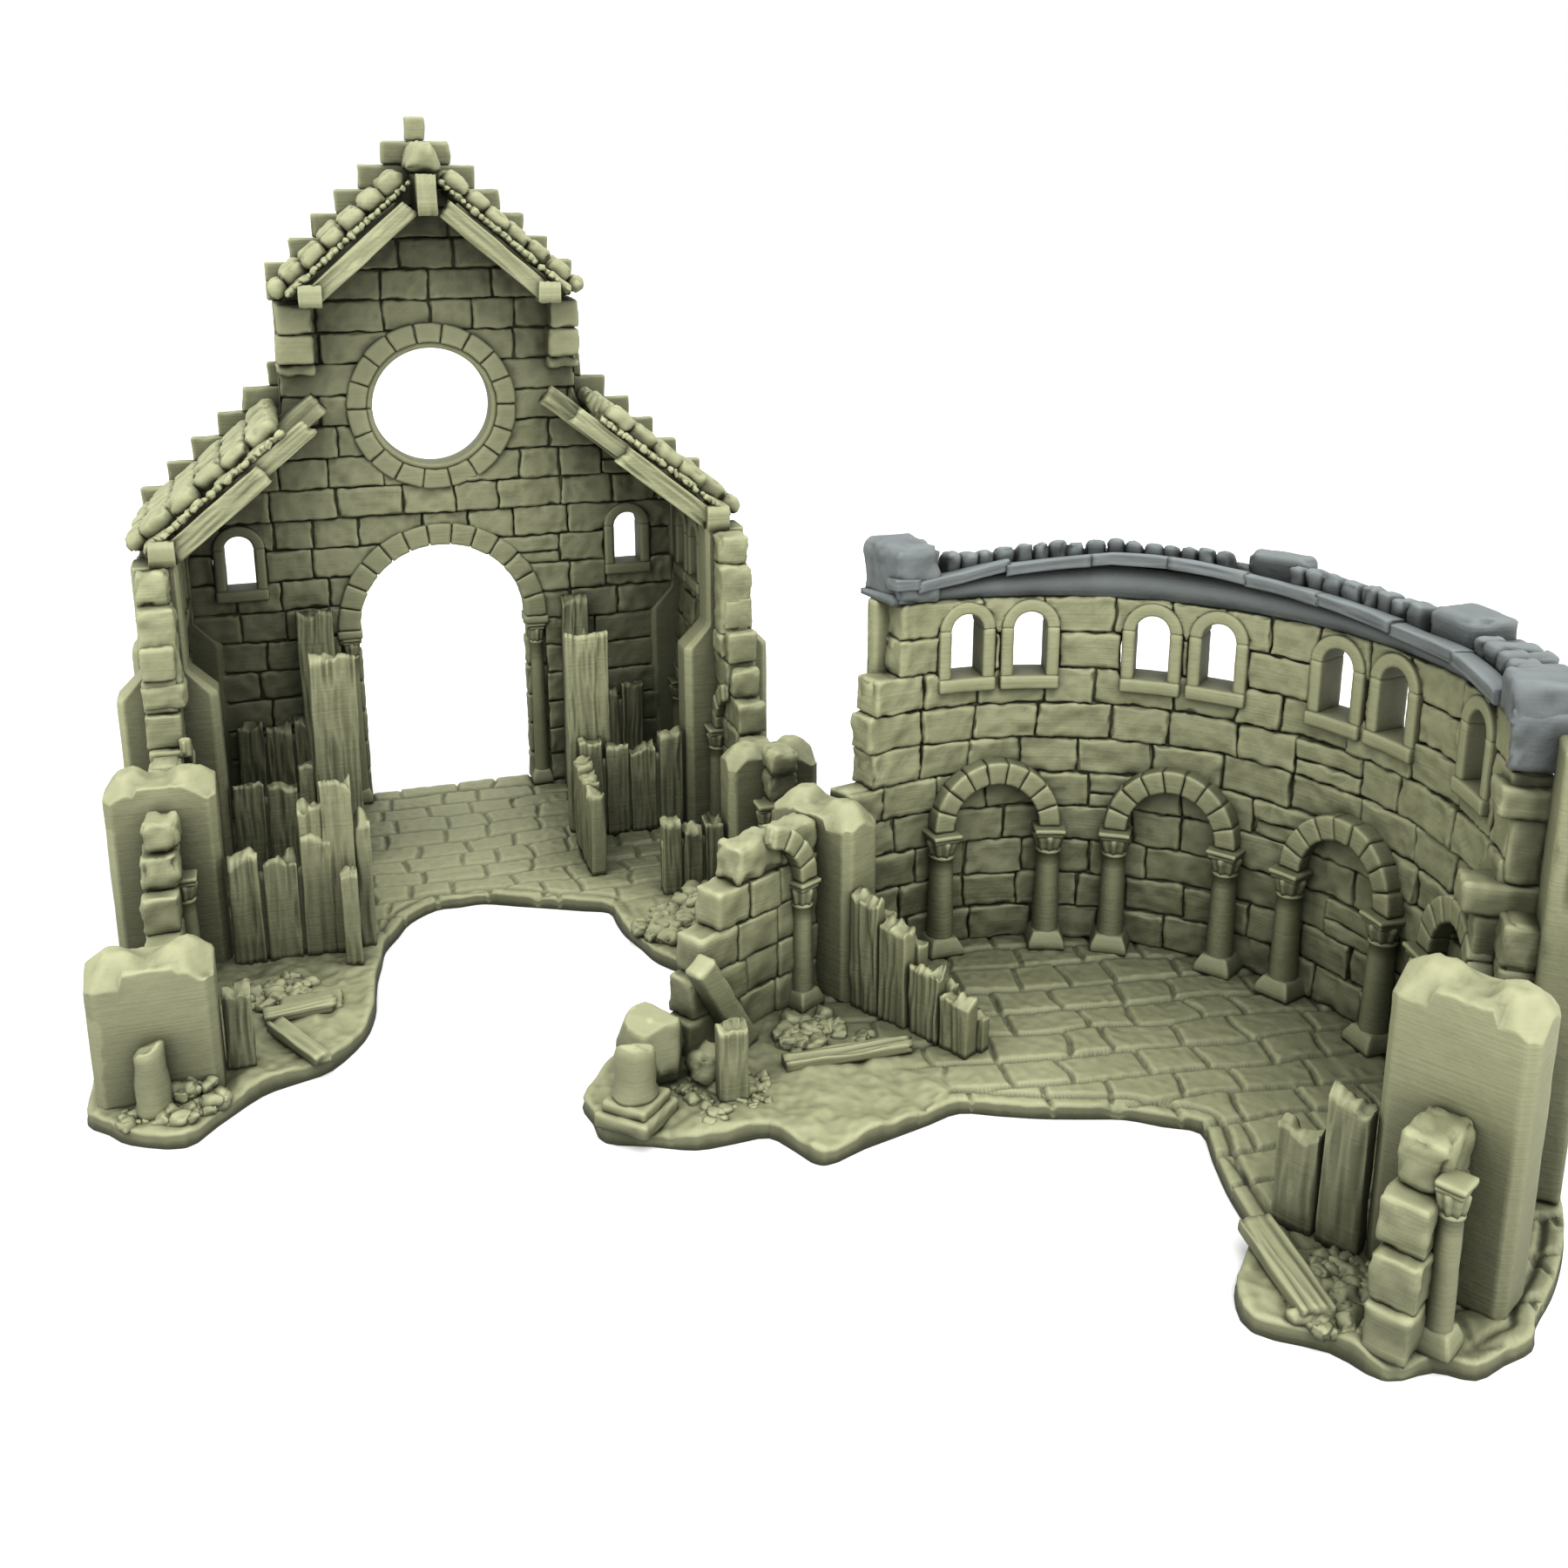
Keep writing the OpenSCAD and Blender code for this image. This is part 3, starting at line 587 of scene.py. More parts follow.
def floor_plate(name, node, outline, height, to=None):
    """A floor plate: outline swept up to a textured top."""
    pitch = 0.4
    outline = smooth_outline(outline)
    low, high = outline.min(0) - pitch, outline.max(0) + pitch
    nx, ny = (np.ceil((high - low) / pitch)).astype(int)
    gx, gy = np.meshgrid(low[0] + np.arange(nx + 1) * pitch, low[1] + np.arange(ny + 1) * pitch,
                         indexing="ij")
    flat = np.stack([gx.ravel(), gy.ravel()], 1)
    keep = inside(flat, outline).reshape(nx + 1, ny + 1)
    cell = keep[:-1, :-1] & keep[1:, :-1] & keep[1:, 1:] & keep[:-1, 1:]
    ids = np.arange((nx + 1) * (ny + 1)).reshape(nx + 1, ny + 1)
    quads = np.stack([ids[:-1, :-1], ids[1:, :-1], ids[1:, 1:], ids[:-1, 1:]], -1)[cell]
    used = np.unique(quads)
    remap = -np.ones(ids.size, int)
    remap[used] = np.arange(len(used))
    quads = remap[quads]
    flat = flat[used]
    edges = np.concatenate([quads[:, [k, (k + 1) % 4]] for k in range(4)])
    key = np.sort(edges, 1) @ [len(used), 1]
    _, first, count = np.unique(key, return_index=True, return_counts=True)
    rim = edges[first[count == 1]]
    rim_ids = np.unique(rim)
    spot, distance = nearest(flat, outline)
    flat[rim_ids] = spot[rim_ids]
    distance[rim_ids] = 0
    z = FLOOR + height(flat[:, 0], flat[:, 1], distance)
    side = flat[rim[:, 1]] - flat[rim[:, 0]]
    normal = np.zeros((len(flat), 2))
    for end in (0, 1):
        np.add.at(normal, rim[:, end], np.stack([side[:, 1], -side[:, 0]], 1))
    normal = normal[rim_ids]
    normal /= np.maximum(np.linalg.norm(normal, axis=1), 1e-9)[:, None]
    layers, faces = [xyz(*flat.T, z)], [quads]
    above, base = rim, len(flat)
    for push, level in ((0.15, z[rim_ids] - 0.4), (0.0, z[rim_ids] - 1.1), (0.3, 0 * rim_ids)):
        layers.append(xyz(*(flat[rim_ids] + normal * push).T, level))
        below = base + np.searchsorted(rim_ids, rim)
        faces.append(np.stack([above[:, 0], below[:, 0], below[:, 1], above[:, 1]], 1))
        above, base = below, base + len(rim_ids)
    layers.append(xyz(*flat.T, 0 * z))
    below = base + rim
    faces += [quads[:, ::-1] + base, np.stack([above[:, 0], below[:, 0], below[:, 1], above[:, 1]], 1)]
    piece = Piece(name, node)
    piece.add((np.concatenate(layers), np.concatenate(faces)), to)


# ---- finishes


def add_node(tree, kind, **inputs):
    """A shader node with some of its inputs set."""
    node = tree.nodes.new("ShaderNode" + kind)
    for name, value in inputs.items():
        node.inputs[name].default_value = value
    return node


def ramp(tree, *stops):
    """A colour ramp through (position, colour) stops."""
    node = add_node(tree, "ValToRGB")
    points = node.color_ramp.elements
    points.remove(points[1])
    points[0].position, points[0].color = stops[0][0], (*stops[0][1], 1)
    for position, colour in stops[1:]:
        points.new(position).color = (*colour, 1)
    return node


def multiplied(tree, first, second):
    """The product of two colours."""
    node = add_node(tree, "Mix")
    node.data_type, node.blend_type = "RGBA", "MULTIPLY"
    node.inputs["Factor"].default_value = 1
    tree.links.new(first, node.inputs["A"])
    tree.links.new(second, node.inputs["B"])
    return node.outputs["Result"]


def finish_material(name, base, dark, light, layer_bump):
    """Printed resin: mottled, with painted shade in joints, creases and deep corners, and faint layer
    lines.
    """
    material = bpy.data.materials.new(name)
    material.use_nodes = True
    tree = material.node_tree
    links = tree.links
    shader = tree.nodes["Principled BSDF"]
    shader.inputs["Roughness"].default_value = 0.62
    shader.inputs["Specular IOR Level"].default_value = 0.35
    where = add_node(tree, "TexCoord").outputs["Object"]

    mottle = add_node(tree, "TexNoise", Scale=90, Detail=4)
    tone = ramp(tree, (0.3, dark), (0.5, base), (0.7, light))
    shape = add_node(tree, "NewGeometry")
    # Painted shade: the colour darkens where pointiness is low, most in joints and creases.
    joints = ramp(tree, (0.42, (0.42,) * 3), (0.5, (0.76,) * 3), (0.6, (1,) * 3))
    # Painted shade in deep corners: ambient occlusion over 60 mm darkens the colour, down to about 0.12
    # of it.
    corners = add_node(tree, "AmbientOcclusion", Distance=0.06)
    corners.samples = 5
    shade = ramp(tree, (0.3, (0.12, 0.125, 0.11)), (0.97, (1,) * 3))
    links.new(where, mottle.inputs["Vector"])
    links.new(mottle.outputs["Fac"], tone.inputs["Fac"])
    links.new(shape.outputs["Pointiness"], joints.inputs["Fac"])
    links.new(corners.outputs["AO"], shade.inputs["Fac"])
    # Mottled tone times the painted shade of joints and creases.
    wear_and_painted_shade = multiplied(tree, tone.outputs["Color"], joints.outputs["Color"])
    # Times the painted shade of deep corners, into the base colour.
    links.new(multiplied(tree, wear_and_painted_shade, shade.outputs["Color"]), shader.inputs["Base Color"])

    stretch = add_node(tree, "Mapping", Scale=(40, 40, 2600))
    links.new(where, stretch.inputs["Vector"])
    normal = None
    for place, scale, detail, strength, depth in (
            (stretch.outputs["Vector"], 1, 1, layer_bump, 0.00008), (where, 1500, 3, 0.35, 0.0001),
            (where, 520, 2, 0.5, 0.0003)):
        grain = add_node(tree, "TexNoise", Scale=scale, Detail=detail)
        bump = add_node(tree, "Bump", Strength=strength, Distance=depth)
        links.new(place, grain.inputs["Vector"])
        links.new(grain.outputs["Fac"], bump.inputs["Height"])
        if normal:
            links.new(normal, bump.inputs["Normal"])
        normal = bump.outputs["Normal"]
    links.new(normal, shader.inputs["Normal"])
    return material


MATERIALS = {
    "stone_olive": finish_material("stone_olive_look", (0.47, 0.48, 0.275), (0.43, 0.44, 0.248),
                                   (0.505, 0.515, 0.30), 0.9),
    "roof_grey": finish_material("roof_grey_look", (0.235, 0.262, 0.262), (0.205, 0.230, 0.232),
                                 (0.265, 0.293, 0.293), 0.5), }

# ---- nave, lower storey

def courses(low, high, height=COURSE):
    """Equal courses of about one height, as (low, high) pairs."""
    count = max(1, round((high - low) / height))
    edges = np.linspace(low, high, count + 1)
    return list(pairwise(edges))


def gaps(start, end, holes):
    """What is left of a course between its holes."""
    left, at = [], start
    for a, b in sorted(holes):
        if a > at:
            left.append((at, a))
        at = max(at, b)
    if end > at:
        left.append((at, end))
    return left


def outside_circle(cx, cz, radius, below=False):
    """Pushes points of a wall out of a round opening; below continues it straight down."""
    def push(p):
        p = p.copy()
        x, z = p[:, 0] - cx, p[:, 2] - cz
        if below:
            z = np.maximum(z, 0)
        grow = np.maximum(1, radius / np.maximum(np.hypot(x, z), 1e-6))
        p[:, 0] = cx + x * grow
        p[:, 2] = np.where(below & (z <= 0), p[:, 2], cz + z * grow)
        return p
    return push


def chord(radius, z):
    """Half the width of a circle at a height above its centre."""
    return math.sqrt(max(0.0, radius * radius - z * z))


def window_holes(low, high, centres):
    """What a row of windows takes out of a course."""
    if high < SILL + 2:
        return []
    return [(c - WINDOW_OUT, c + WINDOW_OUT) for c in centres] if low < HEAD - 2 else []


def around_windows(centres, also=None):
    """Keeps blocks out of the round heads of a row of windows."""
    half = WINDOW_OUT - 0.05

    def push(p):
        p = also(p) if also else p.copy()
        for centre in centres:
            x = np.abs(p[:, 0] - centre)
            head = HEAD + np.sqrt(np.maximum(0, half * half - x * x))
            near = (x < half) & (p[:, 2] > HEAD - 1.6)
            p[:, 2] = np.where(near, np.maximum(p[:, 2], head), p[:, 2])
            below = (x < half) & (p[:, 2] > SILL - 2) & (p[:, 2] < HEAD - 1.6)
            p[:, 2] = np.where(below, np.minimum(p[:, 2], SILL - 0.4), p[:, 2])
        return p
    return push


# Front wall with its portal
made = Piece("front_wall_blocks", "front_wall")
rows = []
for low, high in courses(FLOOR, SEAM):
    edge = PIER_IN + (2 if high < CHAMFER_Z + 4 else 5.5)
    half = chord(PORTAL + ARCH, max(0, high - SPRING)) - 0.4
    holes = [(-half, half)] if half > 0.5 else []
    holes += window_holes(low, high, FACADE_WINDOWS)
    rows.append((low, high, gaps(-edge, edge, holes)))
portal = outside_circle(0, SPRING, PORTAL + ARCH - 0.3, True)
masonry(made, rows, 0, WALL, cap=around_windows(FACADE_WINDOWS, portal))

made = Piece("portal_voussoirs", "portal_arch")
arch(made, 0, SPRING, PORTAL, PORTAL + ARCH, FRAME_PROUD, WALL, 13)

for side, word in SIDES:
    made = Piece("portal_jamb_" + word, "portal_column_" + word)
    to = mirrored if side < 0 else None
    near, far = PORTAL, PORTAL + ARCH
    for low, high in courses(FLOOR, SPRING - 5):
        made.add(block((near, 1.5, low + 0.15), (far, WALL, high - 0.15), soft=0.4), to)
    made.add(core((near + 0.3, 2.2, FLOOR), (far + 0.5, WALL - 0.6, SPRING), 2, 0.1), to)
    half_column(made, near + 2.2, 1.1, SPRING - 1.7, to, r=1.5)
    made.add(block((near - 0.3, -0.9, SPRING - 1.8), (far + 0.4, WALL, SPRING), soft=0.25,
                   rough=0.05), to)
    made.add(block((near, -0.5, SPRING - 2.9), (far + 0.1, WALL, SPRING - 1.7), soft=0.25,
                   rough=0.05), to)
    made = Piece("window_stones_" + word, "window_frame_" + word)
    window_frame(made, side * FACADE_WINDOWS[1])

# Piers
for side, word in SIDES:
    for n in (1, 2, 3, 4):
        node = "pier_%s_%d" % (word, n)
        if node not in frame["nodes"]:
            continue
        low, high = span(node)
        made = Piece(node + "_body", node)
        pier(made, side, low[1], high[2], n > 2)


def broken_arch(piece, cx, to, front):
    """Half of an arch that springs from a column, the rest broken off."""
    arch(piece, cx, NICHE_SPRING, NICHE_IN, NICHE_IN + 3.4, front, 0.4, 4, to,
         (math.pi - math.pi / 2.3, math.pi))


# Side walls
for side, word in SIDES:
    low, high = span("wall_%s_1" % word)
    start, end = low[1], high[1]
    middle = (start + end) / 2
    windows = (middle - 5.6, middle + 5.6)
    made = Piece("wall_%s_1_blocks" % word, "wall_%s_1" % word)
    rows = [(a, b, gaps(start, end, window_holes(a, b, windows)))
            for a, b in courses(FLOOR, SEAM)]
    to = side_wall(side)
    masonry(made, rows, 0, WALL, to, cap=around_windows(windows))
    for centre in windows:
        window_frame(made, centre, to)
    arch(made, middle, NICHE_SPRING, NICHE_IN, NICHE_OUT, -1.4, 0.5, 9, to)
    for s in (-1, 1):
        half_column(made, middle + s * 9.8, -0.4, NICHE_SPRING, to, r=1.9)

REACH = {
    ("left", 2): [24.8, 24.8, 24.8, 22, 17, 9, 8, 9, 7, 5], ("left", 3): [24, 17, 12, 9],
    ("right", 2): [24.8, 24.8, 24.8, 21, 17, 14, 11, 8, 7, 6], ("right", 3): [12, 9, 7, 5], }


def ragged(piece, reaches, start, to):
    """A broken wall: each course ends somewhere else, and open tops are worn round."""
    for i, reach in enumerate(reaches):
        low = FLOOR + i * COURSE
        above = reaches[i + 1] if i + 1 < len(reaches) else 0
        cuts = bond(0, reach, (6.5, 11))
        for a, b in pairwise(cuts):
            open_top = a + 0.3 * (b - a) >= above
            proud = rng.uniform(-0.25, 0.2)
            soft, rough, chips = (0.85, 0.4, 0.5) if open_top else (0.3, 0.24, 0.25)
            piece.add(block((start - b + 0.1, proud, low + 0.12),
                            (start - a - 0.1, WALL + rng.uniform(-0.3, 0.1),
                             low + COURSE - (rng.uniform(-0.4, 1.2) if open_top else 0.1)),
                            soft=soft, rough=rough, grain=2.8, chips=chips), to)
        piece.add(core((start - reach + 0.8, 0.75, low), (start, WALL - 0.75, low + COURSE - 0.8),
                       soft=0.1), to)


for side, word in SIDES:
    for n in (2, 3):
        node = "wall_%s_%d" % (word, n)
        made = Piece(node + "_blocks", node)
        start = PIER_1 - (n - 1) * BAY
        to = side_wall(side)
        ragged(made, REACH[word, n], start, to)
        if n == 2:
            middle = start - (BAY - PIER_DEPTH) / 2
            half_column(made, middle + 9.8, -0.4, NICHE_SPRING, to, r=1.9)
            broken_arch(made, middle, to, -1.4)
            jamb = start - 4.2
            made.add(block((jamb - 3.4, -0.8, FLOOR + 42), (jamb + 1.5, WALL, FLOOR + 56),
                           soft=0.8, rough=0.3), to)
            made.add(block((jamb - 4.2, -1.2, FLOOR + 38), (jamb + 2, WALL + 0.2, FLOOR + 42.5),
                           soft=0.8, rough=0.3), to)
        else:
            half_column(made, start - 4.4, -0.4, FLOOR + 19, to, r=1.7)
            made.add(block((start - 8, -0.6, FLOOR + 24.9), (start - 1, WALL - 0.8, FLOOR + 29.5),
                           soft=1.1, rough=0.4), to)

# ---- board screens


def board(piece, x, y, width, thick, top, broken=1.6):
    """One upright board of a screen across the nave."""
    piece.add(plank(width - 0.35, thick, top, broken),
              placed((x + width / 2, y + thick / 2, FLOOR), lean=rng.uniform(-0.8, 0.8)))


def boards(piece, x, y, widths, tops, thick=3):
    """A row of boards with a rail inside them that closes their gaps."""
    at = x
    for width, top in zip(widths, tops):
        board(piece, at, y, width, thick, top)
        at += width
    piece.add(core((x + 0.2, y + thick * 0.3, FLOOR),
                   (at - 0.4, y + thick * 0.7, FLOOR + min(tops) - 2.5)))


made = Piece("boards_left_1", "screen_left_1")
boards(made, -43, -4.4, [5.6, 5.6, 5.6], [21.5, 20.5, 21.5])
board(made, -29.8, -4.6, 7.6, 3, 44)
made = Piece("boards_left_2", "screen_left_2")
boards(made, -43.4, PIER_1 - BAY + 0.5, [6, 6, 3.5], [19.5, 18.5, 22])
board(made, -28.6, PIER_1 - BAY - 0.4, 8.8, 3, 43)
made = Piece("boards_left_3", "screen_left_3")
y = PIER_1 - 2 * BAY
boards(made, -43.4, y - 1.5, [5.5, 6, 5.5], [19.5, 18.5, 22])
board(made, -28, y - 1.5, 5.6, 3, 31, broken=2.4)
board(made, -31.6, y - 0.6, 4.6, 2.6, 28, broken=2.4)
board(made, -23, y - 1.0, 3.2, 2.6, 24, broken=2.4)
made.add(plank(3, 3, 17, 1.2), placed((-24, y - 6, FLOOR)))
made = Piece("boards_right_1", "screen_right_1")
board(made, 23.5, -4.4, 6, 3, 43)
boards(made, 31, -4.4, [5, 5.2], [21, 23])
made = Piece("boards_right_2", "screen_right_2")
y = PIER_1 - BAY
boards(made, 22, y + 0.5, [5, 5, 5.8, 5.2], [21, 19, 18.5, 20.5])
board(made, 20, y + 3.6, 9, 3, 42)
for k in range(3):
    made.add(plank(5.8, 2.8, 18 - k * 0.8, 1.2), placed((21.9, y - 3.2 - 6 * k, FLOOR), turn=90))
made = Piece("boards_right_3", "screen_right_3")
boards(made, 31.4, PIER_1 - 2 * BAY + 2, [4, 4, 4], [14.5, 13, 14], 3.4)

# ---- loose pieces on the nave floor

made = Piece("stumps_nave", "nave_stump")
made.add(broken_shaft([(2.6, 0), (2.6, 1.2), (2.3, 2), (2.25, 5), (2.2, 7.5), (2.2, 9),
                       (2.15, 10.4), (1.9, 10.9), (1.2, 11)]), placed((-53, -109.6, FLOOR)))
made.add(plank(4.2, 3, 13.5, 1.5), placed((-41.5, -100, FLOOR)))
made = Piece("fallen_boards_nave", "nave_fallen_planks")
made.add(plank(3.6, 1.5, 11, 0.8), placed((-38.5, -88.8, FLOOR + 1.2), tilt=90, turn=96))
made.add(plank(3.0, 1.4, 15, 0.8), placed((-36.9, -91.2, FLOOR + 1.1), tilt=90, turn=28))
made.add(block((-36, -88.4, FLOOR - 0.3), (-26.5, -82.6, FLOOR + 1.3), soft=0.6, rough=0.3))
made = Piece("rubble_nave_left", "nave_rubble_left")
scatter(made, -36, -80, 7.5, 5, 46, (1.2, 3.4))
scatter(made, -48.5, -109.8, 4.6, 3.6, 46, (1.0, 3.4))
scatter(made, -49, -107, 4, 2.6, 26, (1.6, 3.6), FLOOR + 1.8)
scatter(made, -55.5, -110.6, 2.6, 2.0, 14, (1.0, 2.4))
made = Piece("rubble_nave_right", "nave_rubble_right")
scatter(made, 37, -76, 13.5, 8.5, 190, (1.2, 4.2))
scatter(made, 40, -71, 7, 4, 40, (1.6, 4.4), FLOOR + 1.6)

# ---- nave, upper storey

ROSE_IN = ROSE_OUT - 5
STEP_W, STEP_H = 5.06, 4.73
CLERESTORY = 31.1
AISLE_EAVE, AISLE_PITCH = 57, 39
GABLE_EAVE, GABLE_PITCH = 29, 41


def roof_line(x, eave, base, pitch):
    """Height of a roof's underside at a distance x from the middle of the nave."""
    return base - 0.9 + (eave - np.abs(x)) * math.tan(math.radians(pitch))


def roof_reach(z, eave, base, pitch):
    """Distance from the middle at which a roof's underside is as high as z."""
    return eave - (z - base + 0.9) / math.tan(math.radians(pitch))


def around_rose(low, high, edge):
    """A course of the upper wall with the rose cut out of it."""
    half = chord(ROSE_OUT, max(abs(low - ROSE_Z), abs(high - ROSE_Z))) - 0.5
    return low, high, gaps(-edge, edge, [(-half, half)] if half > 1 else [])


made = Piece("upper_wall_blocks", "upper_wall")
rose = outside_circle(0, ROSE_Z, ROSE_OUT - 0.4)


def under_roof(p):
    p = rose(p)
    aisle = roof_line(p[:, 0], AISLE_EAVE, SEAM, AISLE_PITCH)
    p[:, 2] = np.minimum(p[:, 2], np.where(np.abs(p[:, 0]) > CLERESTORY - 2, aisle, 1e3))
    return p


rows = [around_rose(low, high, max(CLERESTORY - 2, roof_reach(low, AISLE_EAVE, SEAM, AISLE_PITCH) - 0.4))
        for low, high in courses(SEAM, GABLE)]
masonry(made, rows, LEAF, PARAPET - 0.1, cap=under_roof)
top = FLOOR + 93.4
foot = CLERESTORY + 5 * STEP_W
bands = [(SEAM, SEAM + 3.9, foot), (SEAM + 3.9, top - 5 * STEP_H, foot)]
bands += [(top - (j + 1) * STEP_H, top - j * STEP_H, CLERESTORY + j * STEP_W)
          for j in range(4, -1, -1)]
bands += [(low, high, CLERESTORY - 2) for low, high in courses(top, GABLE, 6)]
masonry(made, [around_rose(*band) for band in bands], PARAPET, WALL, cap=rose, rough=0.04,
        joint=0.03, split=False)

made = Piece("rose_stones", "rose_ring")
arch(made, 0, ROSE_Z, ROSE_IN + 1.2, ROSE_OUT, LEAF - 1, WALL, 18, sweep=(0, 2 * math.pi))
middle = ROSE_IN + 0.8
made.add(rolled(core((0, LEAF - 0.2, ROSE_IN), (2 * math.pi * middle, WALL - 0.3, ROSE_IN + 1.6),
                     0.8, 0.3), middle), polar(0, ROSE_Z))

for side, word in SIDES:
    made = Piece("quoin_%s_blocks" % word, "quoin_" + word)
    low, high = span("quoin_" + word)
    inner, outer = low[0], high[0]
    for i, (a, b) in enumerate(courses(GABLE - 11.5, GABLE, 5.75)):
        made.add(block((inner + 0.5 * (i % 2), low[1], a + 0.1), (outer, LEAF, b - 0.1), soft=0.6,
                       rough=0.2))
    made.add(block((inner, low[1] + 2.5, low[2]), (outer, LEAF, GABLE - 11.6), soft=0.8, rough=0.4))


def slope(side, eave, base, angle):
    """(up the slope, through, off the slope) to the roof on one side."""
    c, s = math.cos(math.radians(angle)), math.sin(math.radians(angle))

    def to(p):
        x = eave - p[:, 0] * c + p[:, 2] * s
        z = base - 0.9 + p[:, 0] * s + p[:, 2] * c
        return xyz(side * x, p[:, 1], z)
    return to


def beam(piece, x0, x1, y0, y1, z0, z1, to, broken=0.7):
    """A timber whose grain runs along X."""
    piece.add(plank(z1 - z0, y1 - y0, x1 - x0, broken, 0.4),
              lambda p: to(xyz(x0 + p[:, 2], (y0 + y1) / 2 + p[:, 1], (z0 + z1) / 2 + p[:, 0])))


def rounded(piece, low, high, to, soft=1.1):
    """A worn stone or tile."""
    piece.add(block(low, high, cell=0.7, soft=soft, rough=0.28, grain=3, chips=0.35), to)


def battens(piece, front, step, start, first, pitch, sizes, to):
    """Battens that end one behind the other, with crumbs of mortar along each end."""
    for i in range(4):
        x = start + i * 8
        rounded(piece, (x, front + i, -0.2), (x + 5, PARAPET, 1.2), to, 0.6)
        for k in range(6):
            piece.add(rock(rng.uniform(*sizes)),
                      placed((x + first + k * pitch, front + i * step + rng.uniform(0, 0.8), 0.5),
                             then=to))


def beam_end(piece, side, at, width, thick, length):
    """The square end of a beam, seen under the eave."""
    x, y, z = at
    piece.add(plank(width, thick, length, 0.4, 0.22),
              lambda p: xyz(side * (x + p[:, 0]), y + p[:, 2], z + p[:, 1]))


def roof_stones(piece, rows, pitch, overlap, first, front, spread, high, to):
    """Rows of thick stone tiles, from the eave upwards."""
    for i in range(rows):
        cuts = bond(front + rng.uniform(-spread, spread), PARAPET - 0.1, (4.5, 6.5))
        for a, b in pairwise(cuts):
            if b - a > 1.2:
                tile = (i * pitch + pitch + overlap, b - 0.1, high - rng.uniform(0, 0.6))
                rounded(piece, (max(i * pitch + 0.1, first), a + 0.1, 0.6), tile, to, 1.5)


front = PIER_1 - BAY + 1
length = 34 / math.cos(math.radians(AISLE_PITCH))
for side, word in SIDES:
    to = slope(side, AISLE_EAVE, SEAM, AISLE_PITCH)
    made = Piece("aisle_timbers_" + word, "aisle_rafters_" + word)
    beam(made, 7.6, length - 14, front - 0.2, front + 1.8, -4.8, -0.6, to, 1.2)
    beam(made, 15, length - 2.4, front + 2.0, front + 4.4, -3.8, -0.1, to, 1.2)
    beam(made, 7.6, length - 0.4, -9, -4, -4.6, -0.1, to)
    battens(made, front, 0.6, 5, 0.6, 1.25, (1.4, 2.2), to)
    beam_end(made, side, (50.8, front - 2, SEAM + 2.25), 4.6, 4.5, 7.5)
    made = Piece("aisle_roof_stones_" + word, "aisle_tiles_" + word)
    roof_stones(made, 6, 6, 0.3, 2.4, front + 3, 1.5, 4.3, to)

# ---- gable

G_STEP_W, G_STEP_H, G_TOP = 4.67, 4.6, FLOOR + 140.4
made = Piece("gable_wall_blocks", "gable_wall")


def under_gable(p):
    p = p.copy()
    p[:, 2] = np.minimum(p[:, 2], roof_line(p[:, 0], GABLE_EAVE, GABLE, GABLE_PITCH))
    return p


rows = []
for low, high in courses(GABLE, GABLE + 24):
    edge = roof_reach(low, GABLE_EAVE, GABLE, GABLE_PITCH) - 0.5
    if edge > 1.5:
        rows.append((low, high, [(-edge, edge)]))
masonry(made, rows, LEAF, PARAPET - 0.1, cap=under_gable)
rows = []
for k in range(6, -1, -1):
    low = GABLE if k == 6 else G_TOP - (k + 1) * G_STEP_H
    edge = 1.9 + k * G_STEP_W
    for a, b in courses(low, G_TOP - k * G_STEP_H, 4.6):
        rows.append((a, b, [(-edge, edge)]))
masonry(made, rows, PARAPET, WALL, rough=0.04, joint=0.03, split=False)

made = Piece("ridge_beam", "king_post")
peak = roof_line(0, GABLE_EAVE, GABLE, GABLE_PITCH)
for near, far in ((-14.2, -8.4), (-8.2, -2.8), (-2.6, PARAPET - 0.1)):
    made.add(block((-3.7, near, peak + 0.4), (3.7, far, peak + 5.6), soft=1.6, rough=0.3, grain=3),
             lambda p: xyz(p[:, 0] * (1 - 0.1 * (p[:, 2] - peak)), p[:, 1], p[:, 2]))
low, high = span("king_post")
made.add(plank(high[0] - low[0], high[2] - low[2], high[1] - low[1], 0.6, 0.2),
         lambda p: xyz(p[:, 0], high[1] - p[:, 2], (low[2] + high[2]) / 2 + p[:, 1]))

length = GABLE_EAVE / math.cos(math.radians(GABLE_PITCH))
for side, word in SIDES:
    to = slope(side, GABLE_EAVE, GABLE, GABLE_PITCH)
    made = Piece("gable_timbers_" + word, "gable_rafters_" + word)
    beam(made, 7, length - 6.2, -15.4, -13.4, -4.7, -0.9, to, 1.0)
    beam(made, 7.5, length - 7.5, -13.2, -11, -4.0, -0.1, to)
    battens(made, -15, 0.4, 4, 0.4, 1.3, (1.3, 2.0), to)
    beam_end(made, side, (22.2, -17, GABLE + 2), 4.4, 4, 7)
    made = Piece("gable_roof_stones_" + word, "gable_tiles_" + word)
    roof_stones(made, 7, 5, 0.2, 1.8, -13, 1.3, 4.4, to)

# ---- apse

